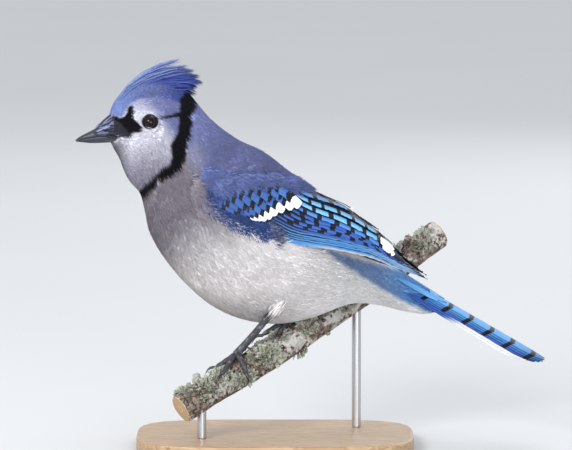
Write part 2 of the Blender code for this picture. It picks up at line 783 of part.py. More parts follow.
# Wings: lower and upper edge of the folded wing in the side view, in mm.
WING_LOWER = [(-42.0, 141.5), (-32.4, 132.0), (-18.9, 123.9), (-3.8, 118.2), (10.0, 113.8),
              (29.7, 108.3), (48.6, 102.8), (67.5, 96.8), (81.3, 91.0)]
WING_UPPER = [(-37.0, 145.0), (-20.0, 143.0), (-4.0, 141.5), (9.0, 141.2), (20.0, 139.6),
              (37.8, 130.4), (54.0, 117.4), (68.0, 104.2), (81.6, 92.6)]
WING_LIFT = 0.5 * MM  # of its inner face off the hull
WING_CORE_ENDS = 0.66  # how far along the wing its solid core reaches
WING_CORE_THICK, WING_CORE_RIM = 1.7 * MM, 0.6 * MM
WING_ROOT_TILT, WING_TILT = 0.5 * MM, 2.1 * MM  # outer edge over inner, at root and beyond
WING_INSET = math.radians(3.0)  # least angle from the back's middle
# Rows of wing feathers: count, root along and up the wing for the first and last one,
# tip along and up for the first and last one, half width in mm, lift at root and tip in mm.
# Along runs 0 to 1 from shoulder to tip, and up runs 0 to 1 from lower to upper edge.
WING_ROWS = {
    "primaries": (5, (0.50, 0.02), (0.46, 0.34), (0.955, 0.06), (0.875, 0.56), 3.6, 0.5, 0.9),
    "secondaries": (4, (0.44, 0.30), (0.40, 0.66), (0.865, 0.66), (0.80, 0.90), 4.6, 0.6, 1.5),
    "tertials": (3, (0.38, 0.70), (0.34, 0.92), (0.77, 0.93), (0.64, 1.0), 5.4, 0.7, 2.1),
    "primary coverts": (2, (0.30, 0.04), (0.28, 0.20), (0.53, 0.05), (0.50, 0.24), 3.6, 0.5, 1.9),
    "greater coverts": (6, (0.27, 0.22), (0.30, 0.92), (0.47, 0.26), (0.50, 0.90), 4.6, 0.5, 2.6),
    "median coverts": (4, (0.15, 0.16), (0.18, 0.90), (0.32, 0.20), (0.34, 0.88), 5.2, 0.4, 2.3),
}
LONGEST_PRIMARY = 2  # counted from the lower edge
PRIMARY_STEP = 0.018


def wing_edge(table, t):
    """Station and angle on the wing's hull of one of its edges."""
    x, z = spline(table, t * (len(table) - 1)) * MM
    place = wing_hull.place_of(x, z)
    centre, up, half_height, _ = wing_hull.section(place)
    share = (Vector((x, 0, z)) - centre).dot(up) / half_height
    return place, math.acos(min(max(share, -1.0), 1.0))


def wing_point(side, t, up, lift):
    """A point over the hull: t from shoulder to tip, up from lower to upper edge."""
    low, high = wing_edge(WING_LOWER, t), wing_edge(WING_UPPER, t)
    place = low[0] + (high[0] - low[0]) * up
    angle = max(low[1] + (high[1] - low[1]) * up, WING_INSET)
    return wing_hull.point(place, side * angle, lift)


def wing_girth(side, t, up):
    """Length over the hull from the lower edge to the upper edge there."""
    return (wing_point(side, t, up + 0.02, 0) - wing_point(side, t, up - 0.02, 0)).length / 0.04


def wing_feathers(side, finish):
    vanes = []
    for name, (count, root_a, root_b, tip_a, tip_b, half, low, high) in WING_ROWS.items():
        for i in range(count):
            share = i / (count - 1)
            root = [root_a[k] + (root_b[k] - root_a[k]) * share for k in (0, 1)]
            tip = [tip_a[k] + (tip_b[k] - tip_a[k]) * share for k in (0, 1)]
            if name == "primaries":
                tip[0] += 0.045 - PRIMARY_STEP * abs(i - LONGEST_PRIMARY)

            def at(t, across, root=root, tip=tip, low=low, high=high, half=half):
                along = root[0] + (tip[0] - root[0]) * t
                up = root[1] + (tip[1] - root[1]) * t
                girth = wing_girth(side, along, min(up, 0.7))
                lift = (low + (high - low) * min(1.0, 1.7 * t)) * MM
                tilt = WING_ROOT_TILT + (WING_TILT - WING_ROOT_TILT) * min(1.0, 2 * t)
                lift += WING_LIFT + tilt * (0.5 - 0.5 * across / (half * MM))
                up += across / girth
                point = wing_point(side, along, up, lift)
                out = wing_point(side, along, up, lift + MM) - point
                return point, out.normalized()

            outline = VANE_OUTLINE if name.endswith("coverts") else LONG_OUTLINE
            vanes.append(vane(at, half * MM, finish, outline))
    return vanes


def make_wing(name, side, finish):
    rows, under = [], []
    for r in range(9):
        t = WING_CORE_ENDS * r / 8
        row, low = [], []
        for c in range(6):
            share = c / 5
            rim = min(1.0, 4 * min(share, 1 - share), 5 * min(t, WING_CORE_ENDS - t) / WING_CORE_ENDS)
            thick = WING_CORE_RIM + (WING_CORE_THICK - WING_CORE_RIM) * rim
            row.append(wing_point(side, t, share, WING_LIFT + thick))
            low.append(wing_point(side, t, share, WING_LIFT))
        rows.append(row)
        under.append(low)
    wing = sheet("wing_" + name, rows, under, finish)
    fuse(wing, wing_feathers(side, finish))
    return smooth(wing)


def clear_scene():
    for old in list(bpy.data.objects):
        bpy.data.objects.remove(old)
    for old in list(bpy.data.collections):
        bpy.data.collections.remove(old)


def main():
    clear_scene()
    feather = material("pale feather", (0.62, 0.62, 0.70), 0.8)
    blue = material("blue feather", (0.10, 0.24, 0.62), 0.6)
    horn = material("black horn", (0.03, 0.03, 0.035), 0.35)
    scaly = material("dark scaly skin", (0.05, 0.045, 0.05), 0.5)
    wet = material("dark eye", (0.01, 0.008, 0.006), 0.05)
    bark = material("lichened bark", (0.25, 0.21, 0.18), 0.9)
    wood = material("pale wood", (0.55, 0.45, 0.33), 0.5)
    metal = material("steel rod", (0.5, 0.5, 0.52), 0.3, 1.0)
    make_bill(horn)
    make_head(feather)
    make_eyes(wet)
    make_neck(feather)
    limbs = []
    for name, side in SIDE.items():
        toes = make_foot(name, side, scaly, horn)
        limbs += toes + [make_leg(name, side, scaly, toes)]
        make_wing(name, side, blue)
    make_torso(feather, bark, limbs)
    make_tail(blue, bark)
    make_perch(bark)
    make_stand(wood, metal)


main()
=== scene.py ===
import math

import bpy
import numpy as np
from mathutils import Matrix, Vector


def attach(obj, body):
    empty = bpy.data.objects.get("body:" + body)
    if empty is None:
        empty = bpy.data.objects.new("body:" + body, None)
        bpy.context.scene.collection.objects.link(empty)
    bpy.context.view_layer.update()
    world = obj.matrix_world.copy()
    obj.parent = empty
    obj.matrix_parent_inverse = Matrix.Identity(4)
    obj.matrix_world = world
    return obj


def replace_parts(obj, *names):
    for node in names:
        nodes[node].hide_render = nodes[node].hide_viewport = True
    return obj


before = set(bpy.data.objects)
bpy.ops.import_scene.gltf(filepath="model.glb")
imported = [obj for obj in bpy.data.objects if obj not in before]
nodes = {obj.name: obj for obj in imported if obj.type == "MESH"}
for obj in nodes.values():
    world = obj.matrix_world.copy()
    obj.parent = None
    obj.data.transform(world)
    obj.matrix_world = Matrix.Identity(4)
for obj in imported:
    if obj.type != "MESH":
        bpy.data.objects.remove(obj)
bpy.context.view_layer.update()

mm = 0.001
left, right = -1.0, 1.0
sides = {"left": left, "right": right}
chance = np.random.default_rng(11)
print("frame loaded,", len(nodes), "nodes")

# A wire is one socket, so that sums and products of wires add their own Math nodes.


class Wire:
    def __init__(self, paint, socket):
        self.paint = paint
        self.socket = socket

    def __add__(self, other):
        return self.paint.maths("ADD", self, other)

    def __sub__(self, other):
        return self.paint.maths("SUBTRACT", self, other)

    def __rsub__(self, other):
        return self.paint.maths("SUBTRACT", other, self)

    def __mul__(self, other):
        return self.paint.maths("MULTIPLY", self, other)

    def __truediv__(self, other):
        return self.paint.maths("DIVIDE", self, other)

    __radd__ = __add__
    __rmul__ = __mul__


class Paint:
    def __init__(self, name, **fixed):
        self.material = bpy.data.materials.new(name)
        self.material.use_nodes = True
        self.tree = self.material.node_tree
        self.shader = self.tree.nodes["Principled BSDF"]
        for socket, value in fixed.items():
            self.shader.inputs[socket.replace("_", " ")].default_value = value

    # Any node: its type, its settings, then its sockets by name or number.
    def node(self, kind, settings=None, sockets=None, out=0):
        made = self.tree.nodes.new("ShaderNode" + kind)
        for name, value in (settings or {}).items():
            setattr(made, name, value)
        for name, value in (sockets or {}).items():
            self.plug(made.inputs[name], value)
        return Wire(self, made.outputs[out])

    def plug(self, socket, value):
        if isinstance(value, Wire):
            self.tree.links.new(value.socket, socket)
        else:
            socket.default_value = value

    def maths(self, operation, *values):
        return self.node("Math", {"operation": operation}, dict(enumerate(values)))

    def mix(self, factor, first, second):
        first = first if isinstance(first, Wire) else (*first, 1.0)
        second = second if isinstance(second, Wire) else (*second, 1.0)
        settings = {"data_type": "RGBA", "clamp_factor": True}
        return self.node("Mix", settings, {0: factor, 6: first, 7: second}, 2)

    def scale(self, colour, share):
        return self.node("VectorMath", {"operation": "SCALE"}, {0: colour, "Scale": share})

    # A value that the mesh carries: out 0 is its colour, 1 its vector, 3 its fourth number.
    def carried(self, name, out=0):
        return self.node("Attribute", {"attribute_name": name}, None, out)

    def split(self, vector):
        parts = self.node("SeparateXYZ", None, {0: vector}).socket.node
        return [Wire(self, parts.outputs[k]) for k in range(3)]

    def place(self):
        return self.node("TexCoord", None, None, 3)

    # Places scaled unevenly, for grain that runs along a piece
    def stretched(self, scale):
        return self.node("Mapping", None, {0: self.place(), 3: scale})

    def noise(self, scale, detail=2.0, where=None):
        sockets = {"Scale": scale, "Detail": detail, "Vector": where or self.place()}
        return self.node("TexNoise", None, sockets)

    # 0 at the edges of small cells, more inside them
    def cells(self, scale):
        sockets = {"Scale": scale, "Vector": self.place()}
        return self.node("TexVoronoi", {"feature": "DISTANCE_TO_EDGE"}, sockets)

    # 0 below low, 1 above high, smooth between
    def step(self, value, low, high):
        settings = {"interpolation_type": "SMOOTHSTEP"}
        return self.node("MapRange", settings, {0: value, 1: low, 2: high})

    def bump(self, height, strength, distance):
        sockets = {"Strength": strength, "Distance": distance, "Height": height}
        self.plug(self.shader.inputs["Normal"], self.node("Bump", None, sockets))

    def feed(self, **sockets):
        for name, value in sockets.items():
            self.plug(self.shader.inputs[name.replace("_", " ")], value)
        return self.material


# Meshes. Points are in mm until a mesh is made.


def meshPiece(name, points, corners, finish, smooth=True):
    mesh = bpy.data.meshes.new(name)
    corners = np.ascontiguousarray(corners, np.int32)
    mesh.vertices.add(len(points))
    mesh.vertices.foreach_set("co", np.ascontiguousarray(points * mm, np.float32).ravel())
    mesh.loops.add(corners.size)
    mesh.loops.foreach_set("vertex_index", corners.ravel())
    mesh.polygons.add(len(corners))
    mesh.polygons.foreach_set("loop_start", np.arange(0, corners.size, corners.shape[1], dtype=np.int32))
    mesh.update(calc_edges=True)
    mesh.validate()
    mesh.polygons.foreach_set("use_smooth", np.full(len(mesh.polygons), smooth))
    mesh.materials.append(finish)
    made = bpy.data.objects.new(name, mesh)
    bpy.context.scene.collection.objects.link(made)
    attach(made, "root")
    return made


def carry(made, name, values):
    values = np.ascontiguousarray(values, np.float32)
    kind, field = ("FLOAT_VECTOR", "vector") if values.shape[1] == 3 else ("FLOAT_COLOR", "color")
    layer = made.data.attributes.new(name, kind, "POINT")
    layer.data.foreach_set(field, values.ravel())


def carryColour(made, name, colours):
    carry(made, name, np.concatenate([colours, np.ones((len(colours), 1))], 1))


def addBakeMap(made, places):
    layer = made.data.uv_layers.new(name="OFBake")
    loops = np.empty(len(made.data.loops), np.int32)
    made.data.loops.foreach_get("vertex_index", loops)
    layer.data.foreach_set("uv", np.ascontiguousarray(places[loops], np.float32).ravel())


# Triangles of a grid of points, wrapped round into a tube or not; flip turns them over.
def gridFaces(rows, columns, start=0, wrap=False, flip=False):
    r, c = np.meshgrid(np.arange(rows - 1), np.arange(columns if wrap else columns - 1), indexing="ij")
    a = start + r * columns + c
    b = start + r * columns + (c + 1) % columns
    d, e = a + columns, b + columns
    faces = np.stack([a, b, e, a, e, d], -1).reshape(-1, 3)
    return faces[:, ::-1] if flip else faces


# Triangles of a closed sheet: a top grid, a like grid under it and the rim between them
def sheetFaces(rows, columns, start=0):
    n = rows * columns
    rim = np.concatenate([np.arange(columns), np.arange(1, rows) * columns + columns - 1,
                          (rows - 1) * columns + np.arange(columns - 2, -1, -1),
                          np.arange(rows - 2, 0, -1) * columns])
    ahead = np.roll(rim, -1)
    walls = [np.stack([rim, rim + n, ahead], -1), np.stack([ahead, rim + n, ahead + n], -1)]
    return start + np.concatenate([gridFaces(rows, columns), gridFaces(rows, columns, n, flip=True)] + walls)


# A closed tube over rings of points (ring, round, xyz), pointed at both ends
def tubeMesh(rings):
    count, columns = rings.shape[:2]
    points = np.concatenate([rings.reshape(-1, 3), rings[0].mean(0)[None], rings[-1].mean(0)[None]])
    n = count * columns
    ring = np.arange(columns)
    first = np.stack([ring, np.full(columns, n), np.roll(ring, -1)], -1)
    last = np.stack([n - columns + np.roll(ring, -1), np.full(columns, n + 1), n - columns + ring], -1)
    return points, np.concatenate([gridFaces(count, columns, wrap=True), first, last])


# Turns all faces over if they look inwards.
def outward(points, corners):
    a, b, c = (points[corners[:, k]] for k in range(3))
    return corners[:, ::-1] if np.einsum("ij,ij->", a, np.cross(b, c)) < 0 else corners


def tubePiece(name, rings, finish):
    points, corners = tubeMesh(rings)
    return meshPiece(name, points, outward(points, corners), finish), points


def unit(vectors):
    return vectors / np.linalg.norm(vectors, axis=-1, keepdims=True)


def turns(count):
    return 2 * math.pi * np.arange(count) / count


def smoothStep(value, low, high):
    t = np.clip((value - low) / (high - low), 0, 1)
    return t * t * (3 - 2 * t)


def catmullRom(table, place):
    rows = np.asarray(table, float)
    last = len(rows) - 1
    place = np.clip(np.asarray(place, float), 0, last)
    i = np.minimum(place.astype(int), last - 1)
    t = (place - i)[..., None]
    before, here, there = rows[np.maximum(i - 1, 0)], rows[i], rows[i + 1]
    after = rows[np.minimum(i + 2, last)]
    slopeIn, slopeOut = (there - before) / 2, (after - here) / 2
    bend = (2 * t**3 - 3 * t**2 + 1) * here + (t**3 - 2 * t**2 + t) * slopeIn
    return bend + (-2 * t**3 + 3 * t**2) * there + (t**3 - t**2) * slopeOut


# Rings round a line of points, for toes, legs and twigs; reach(row, turn) is the radius.
def ringsRound(line, reach, columns, up=(0.0, 0.0, 1.0)):
    ahead = unit(np.gradient(line, axis=0))
    across = unit(np.cross(ahead, np.array(up)))
    over = np.cross(across, ahead)
    turn = -turns(columns)
    size = reach(np.arange(len(line))[:, None], turn[None, :])[..., None]
    around = across[:, None] * np.cos(turn)[None, :, None] + over[:, None] * np.sin(turn)[None, :, None]
    return line[:, None] + around * size


# Body shape, the same as the solids': the back line's x, z, the belly line's x, z and the half width, in mm
bodyStations = [
    (-90.2, 177.4, -88.8, 165.6, 5.6),
    (-86.9, 187.0, -84.2, 158.0, 9.6),
    (-79.9, 194.6, -81.5, 151.0, 12.2),
    (-70.2, 199.9, -78.3, 145.0, 14.3),
    (-57.8, 200.5, -73.4, 139.6, 15.2),
    (-47.5, 193.0, -71.3, 134.1, 15.8),
    (-40.5, 184.6, -69.7, 126.5, 17.5),
    (-32.4, 175.7, -67.0, 116.2, 22.0),
    (-20.0, 166.7, -58.9, 102.6, 26.5),
    (-7.0, 160.7, -47.5, 89.1, 29.5),
    (6.5, 150.4, -32.9, 77.1, 30.5),
    (18.4, 141.2, -16.2, 70.0, 29.5),
    (27.0, 134.1, 2.7, 67.9, 27.0),
    (35.6, 124.3, 21.6, 71.7, 23.0),
    (44.3, 114.6, 40.5, 78.7, 17.0),
    (55.6, 104.8, 55.1, 78.2, 12.5),
    (65.3, 97.4, 68.6, 74.9, 9.5),
    (74.0, 91.6, 79.4, 72.8, 7.0),
    (83.7, 85.6, 86.9, 73.8, 4.0),
]
# The hull that the folded wings lie on
wingStations = bodyStations[:12] + [
    (27.0, 136.0, 0.0, 70.6, 28.5),
    (37.8, 130.6, 16.2, 73.8, 27.0),
    (47.0, 124.4, 32.4, 77.1, 25.0),
    (55.6, 118.0, 47.0, 80.4, 21.5),
    (63.7, 111.0, 59.4, 80.4, 17.0),
    (72.9, 103.5, 70.2, 80.4, 13.0),
    (82.6, 95.0, 81.0, 79.8, 10.0),
    (90.0, 90.0, 88.5, 79.3, 8.5),
]
bellyPinch = 0.16
lastStation = len(bodyStations) - 1.0


# Points lift mm over the hull; angle 0 is the back and positive angles are the right side.
def hullPoint(stations, place, angle, lift=0.0):
    place, angle, lift = np.broadcast_arrays(place, angle, lift)
    row = catmullRom(stations, place)
    back, belly, wide = row[..., 0:2], row[..., 2:4], row[..., 4]
    middle, up = (back + belly) / 2, back - belly
    tall = np.linalg.norm(up, axis=-1) / 2
    up = up / (2 * tall[..., None])
    cos, sin = np.cos(angle), np.sin(angle)
    wide = wide * (1 - bellyPinch * np.maximum(0, -cos) ** 2)
    outUp, outSide = cos / tall, sin / wide
    size = np.hypot(outUp, outSide)
    reachUp = tall * cos + lift * outUp / size
    x = middle[..., 0] + up[..., 0] * reachUp
    z = middle[..., 1] + up[..., 1] * reachUp
    return np.stack([x, wide * sin + lift * outSide / size, z], -1)


# mm over the hull for one station onwards and for one radian round
def hullScale(stations, place, angle):
    nudge, least = 0.02, 1e-6
    here = hullPoint(stations, place, angle)
    along = hullPoint(stations, place + nudge, angle) - here
    around = hullPoint(stations, place, angle + nudge) - here
    return (np.linalg.norm(along, axis=-1) / nudge + least, np.linalg.norm(around, axis=-1) / nudge + least)


# The photo's view. Markings are given in mm as it shows them, as if all lay in the bird's middle plane.
view = dict(target=(5.9, 0.0, 121.0), distance=2600.0, frameWidth=309.0, rise=math.radians(6.0))


def asSeen(x, y, z):
    near = np.abs(y)
    grow = 1 + near / view["distance"]
    seenX = view["target"][0] + (x - view["target"][0]) * grow
    seenZ = view["target"][2] + (z - view["target"][2] - near * math.tan(view["rise"])) * grow
    return seenX, seenZ


def hullPlace(stations, x, z):
    low, high = 0.0, len(stations) - 1.0
    for _ in range(30):
        middle = (low + high) / 2
        row = catmullRom(stations, middle)
        upX, upZ = row[0] - row[2], row[1] - row[3]
        behind = (x - (row[0] + row[2]) / 2) * upZ - (z - (row[1] + row[3]) / 2) * upX
        low, high = (middle, high) if behind > 0 else (low, middle)
    row = catmullRom(stations, low)
    up = row[0:2] - row[2:4]
    share = np.dot(np.array([x, z]) - (row[0:2] + row[2:4]) / 2, up) * 2 / np.dot(up, up)
    return low, math.acos(min(max(share, -1.0), 1.0))


# Station and angle of the hull's point that the photo shows at x, z
def seenPlace(stations, x, z, lift=0.0):
    tryX, tryZ = x, z
    for _ in range(4):
        place, angle = hullPlace(stations, tryX, tryZ)
        seenX, seenZ = asSeen(*hullPoint(stations, place, angle, lift))
        tryX, tryZ = tryX + x - seenX, tryZ + z - seenZ
        tryX, tryZ = min(max(tryX, x - 4), x + 4), min(max(tryZ, z - 4), z + 5)
    return place, angle


def seenPlaces(stations, spots):
    return np.array([seenPlace(stations, x, z) for x, z in spots])


# Share of the way from one point to the next that lies nearest to x, z, and the distance to it
def nearestOn(x0, z0, x1, z1, x, z):
    along = ((x - x0) * (x1 - x0) + (z - z0) * (z1 - z0)) / ((x1 - x0) ** 2 + (z1 - z0) ** 2)
    along = np.clip(along, 0, 1)
    return along, np.hypot(x - x0 - along * (x1 - x0), z - z0 - along * (z1 - z0))


# 1 inside an outline in the view and 0 outside it
def outlineMark(outline, x, z, soft):
    ring = np.asarray(outline, float)
    inside = np.zeros(np.shape(x), bool)
    nearest = np.full(np.shape(x), 1e9)
    for (x0, z0), (x1, z1) in zip(ring, np.roll(ring, -1, axis=0)):
        crosses = (z0 > z) != (z1 > z)
        inside ^= crosses & (x < (x1 - x0) * (z - z0) / (z1 - z0 + 1e-9) + x0)
        nearest = np.minimum(nearest, nearestOn(x0, z0, x1, z1, x, z)[1])
    return smoothStep(np.where(inside, nearest, -nearest), -soft, soft)


# 1 within a line's own half width (its third number) and 0 away from it
def bandMark(line, x, z, soft):
    best = np.full(np.shape(x), -1e9)
    for (x0, z0, w0), (x1, z1, w1) in zip(line, line[1:]):
        along, away = nearestOn(x0, z0, x1, z1, x, z)
        best = np.maximum(best, w0 + (w1 - w0) * along - away)
    return smoothStep(best, -soft, soft)


eyeSpot = (-67.3, 176.8)
wingLower = [(-45.9, 139.0), (-38.3, 130.9), (-28.6, 124.3), (-17.3, 118.4), (-7.0, 114.6), (8.1, 112.9),
             (29.7, 107.5), (48.6, 101.8), (67.5, 96.1), (81.0, 91.5)]
wingUpper = [(-42.7, 145.5), (-28.6, 143.4), (-13.5, 141.7), (0.0, 142.0), (15.1, 142.3), (23.2, 137.4),
             (37.8, 130.3), (51.3, 119.7), (64.3, 106.4), (81.5, 92.6)]
marks = {
    "crown": [(-95.6, 179.2), (-90.2, 180.0), (-86.4, 180.0), (-82.9, 179.5), (-80.5, 183.0),
              (-78.8, 185.7), (-76.7, 187.6), (-72.9, 189.2), (-67.5, 190.3), (-61.0, 190.1),
              (-55.6, 188.7), (-51.3, 187.3), (-48.1, 187.3), (-45.9, 191.7), (-32.4, 194.4),
              (-32.4, 221.5), (-95.6, 221.5)],
    "forehead": [(-94.5, 178.1), (-83.7, 179.2), (-77.8, 186.8), (-72.9, 198.7), (-89.1, 198.7)],
    "lore": [(-88.8, 178.9), (-86.9, 180.0), (-82.8, 179.2), (-80.5, 181.1), (-78.6, 185.2), (-76.7, 185.3),
             (-76.1, 182.4), (-76.6, 179.2), (-74.8, 177.0), (-73.2, 175.7), (-71.8, 174.0), (-72.1, 172.0),
             (-75.1, 171.3), (-79.4, 171.2), (-81.3, 173.5), (-83.4, 176.6), (-86.4, 177.8)],
    "eyeLine": [(-63.7, 178.2, 0.6), (-59.9, 179.4, 0.95), (-55.6, 180.5, 0.9), (-50.2, 181.9, 1.3)],
    "collar": [(-43.2, 193.3, 3.0), (-46.4, 188.4, 4.8), (-47.5, 183.5, 4.2), (-48.3, 179.2, 3.5),
               (-49.1, 170.5, 3.7), (-52.1, 163.4, 4.2), (-51.8, 157.5, 3.6), (-53.7, 153.1, 3.2),
               (-58.9, 149.3, 2.7), (-63.5, 145.5, 2.2), (-69.4, 140.1, 2.5), (-72.4, 136.3, 2.0),
               (-74.5, 132.5, 2.0)],
    "bristles": [(-96.7, 180.3), (-88.0, 179.5), (-82.6, 178.1), (-79.4, 173.2), (-75.6, 171.9),
                 (-78.3, 168.1), (-88.0, 167.8), (-96.7, 167.2)],
    "scapulars": [(-51.3, 149.9), (-40.5, 148.2), (-18.9, 147.7), (2.7, 146.6), (16.2, 142.3),
                  (23.2, 137.4), (13.5, 134.7), (-13.5, 136.8), (-45.9, 139.0)],
    "rump": [(23.2, 109.7), (37.8, 104.3), (52.4, 100.5), (70.2, 95.6), (89.1, 84.7), (92.3, 70.6),
             (81.5, 74.4), (69.7, 79.5), (58.9, 85.3), (49.1, 91.2), (39.4, 97.7), (29.7, 103.7)],
}
tints = {
    "crown": (0.163, 0.200, 0.435), "crownDeep": (0.070, 0.105, 0.385), "forehead": (0.195, 0.265, 0.550),
    "face": (0.75, 0.74, 0.84), "brow": (0.375, 0.39, 0.58), "throat": (0.365, 0.345, 0.44),
    "black": (0.003, 0.003, 0.006), "bristle": (0.105, 0.11, 0.18), "nape": (0.238, 0.267, 0.525),
    "neckSide": (0.345, 0.355, 0.525), "gape": (0.016, 0.017, 0.028), "mantle": (0.181, 0.202, 0.410),
    "scapular": (0.115, 0.157, 0.375), "breast": (0.285, 0.258, 0.305), "belly": (1.0, 0.965, 0.97),
    "rump": (0.24, 0.37, 0.66), "vent": (1.0, 1.0, 1.0), "tailBase": (0.13, 0.37, 0.75),
    "chin": (0.15, 0.147, 0.185), "lesser": (0.042, 0.080, 0.25), "notch": (0.03, 0.045, 0.13),
    "fringe": (0.34, 0.36, 0.45),
}
tints = {name: np.array(tint) for name, tint in tints.items()}
# The face ends at collarAt, which lies under the collar, and the back begins above backEdge (x, z).
collarAt = np.array([(-110, 118), (-76, 130), (-70, 140), (-63.5, 145.5), (-59, 149), (-54, 152), (-52, 157),
                     (-49, 168), (-48, 183), (-43, 193), (-43, 215)], float)
backEdge = np.array([(-60, 143.6), (-30, 141.8), (-10, 134), (15, 127), (38, 118), (64, 102),
                     (90, 90)], float)


def blend(base, tint, share):
    return base + (tint - base) * np.asarray(share)[..., None]


# Wavers from -1 to 1, for the ragged edges of the markings
def ripple(x, z, size):
    first = np.sin(x / size + 1.3 * np.sin(z / size * 0.7))
    return first * np.sin(z / size * 1.1 + 1.7 * np.cos(x / size * 0.6))


# The coat's colour at points in mm; the skin and every feather of the coat take it. Each smoothStep runs
# between two places in mm, so a tint fades in from the one to the other.
def plumage(x, y, z):
    x, z = asSeen(x, y, z)
    ragged = 0.45
    x, z = x + ragged * ripple(x, z, 1.4), z + ragged * ripple(z, x, 1.7)
    belly = tints["belly"] + np.zeros(np.shape(x) + (1,))
    low = (140 - z) * 0.6 + (x + 64) * 0.5
    body = blend(belly, tints["breast"], smoothStep(low, 46, 12))
    # painted shade: the belly's underside is painted up to 30% darker, fading out above z 90 mm and behind x
    # 30 mm
    body = body * (1 - 0.30 * smoothStep(z, 90, 72) * smoothStep(x, 30, 0))[..., None]
    body = blend(body, tints["vent"], smoothStep(x, 20, 45) * smoothStep(z, 112, 96))
    face = blend(tints["face"] + np.zeros_like(body), tints["brow"], smoothStep(z, 180, 188) * 0.8)
    face = blend(face, tints["throat"], smoothStep(z, 168, 146))
    face = blend(face, tints["chin"], smoothStep(x, -76, -87) * smoothStep(z, 168, 164))
    collarX = np.interp(z, collarAt[:, 1], collarAt[:, 0])
    body = blend(body, face, smoothStep(collarX - x, -2, 2))
    # the nape and the mantle lie behind a line from the collar to the wing's shoulder
    behind = smoothStep((x + 50) * 0.9 + (z - 156) * 0.62, -2, 9)
    above = smoothStep(z - np.interp(x, backEdge[:, 0], backEdge[:, 1]), -2.0, 2.0)
    back = blend(tints["nape"] + np.zeros_like(body), tints["mantle"], smoothStep(z, 176, 158))
    back = blend(back, tints["neckSide"], smoothStep(z, 172, 158) * smoothStep(x, -34, -44))
    back = blend(back, tints["rump"], smoothStep(x, 28, 55))
    back = blend(back, tints["scapular"], outlineMark(marks["scapulars"], x, z, 4.0))
    body = blend(body, back, behind * above)
    rump = blend(tints["rump"] + np.zeros_like(body), tints["tailBase"], smoothStep(x, 52, 78))
    body = blend(body, rump, outlineMark(marks["rump"], x, z, 1.6))
    crown = blend(tints["crown"] + np.zeros_like(body), tints["crownDeep"], smoothStep(x, -66, -50))
    crown = blend(crown, tints["forehead"], outlineMark(marks["forehead"], x, z, 5.0))
    body = blend(body, crown, outlineMark(marks["crown"], x, z, 0.9))
    body = blend(body, tints["black"], bandMark(marks["collar"], x, z, 0.9))
    body = blend(body, tints["black"], bandMark(marks["eyeLine"], x, z, 0.45))
    body = blend(body, tints["gape"], 0.98 * outlineMark(marks["bristles"], x, z, 1.0))
    return blend(body, tints["black"], outlineMark(marks["lore"], x, z, 0.55))


# Coat of small feathers
# A tuft is a fan of narrow closed blades that grow from one root and lie along the body. Lengths are in mm.


def coatPaint():
    paint = Paint("softPlumage", Roughness=0.8, Specular_IOR_Level=0.12, Sheen_Weight=0.03,
                  Sheen_Roughness=0.5)
    grain, patch = paint.noise(900.0), paint.noise(110.0, 3.0)
    shade = 0.70 + grain * 0.38 + patch * 0.38
    return paint.feed(Base_Color=paint.scale(paint.carried("plumage"), shade))


coatFinish = coatPaint()
bakeMap = dict(patch=0.0015, edge=0.01, stations=20.0)  # a blade's half patch, empty edge, map's width


# centre(ring, across, lift) gives one point of every blade; shade(t) is how dark a blade is along it.
# A blade's darker root is partly a feather's grey down and partly painted shade deep in the coat.
def buildBlades(name, centre, rings, thick, tint, shade, mapRoot):
    layers = []
    for ring in range(rings):
        layers += [centre(ring, -1, 0.0), centre(ring, 1, 0.0), centre(ring, 0, thick)]
    points = np.stack(layers + [centre(rings, 0, 0.0)], 1)
    count, each = points.shape[:2]
    faces = [(0, 2, 1)]
    for ring in range(rings - 1):
        for k in range(3):
            b, c = ring * 3 + k, ring * 3 + (k + 1) % 3
            faces += [(b, c, c + 3), (b, c + 3, b + 3)]
    tip = (rings - 1) * 3
    faces += [(tip + k, tip + (k + 1) % 3, each - 1) for k in range(3)]
    corners = (np.arange(count)[:, None, None] * each + np.array(faces)[None]).reshape(-1, 3)
    made = meshPiece(name, points.reshape(-1, 3), corners, coatFinish)
    ringOf = np.minimum(np.arange(each) // 3, rings) / rings
    carryColour(made, "plumage", (tint[:, None] * shade(ringOf)[None, :, None]).reshape(-1, 3))
    acrossOf = np.array([(-1, 1, 0)[k % 3] for k in range(each - 1)] + [0])
    patch = np.stack([acrossOf, ringOf * 2 - 1], -1) * bakeMap["patch"]
    addBakeMap(made, (mapRoot[:, None] + patch[None]).reshape(-1, 2))
    return made


# Place on an unwrap of the skin: stations one way and angles the other
def rootOnMap(place, angle):
    edge = bakeMap["edge"]
    span = 1 - 2 * edge
    around = (angle + math.pi) / (2 * math.pi) % 1.0
    return np.stack([edge + span * place / bakeMap["stations"], edge + span * around], -1)


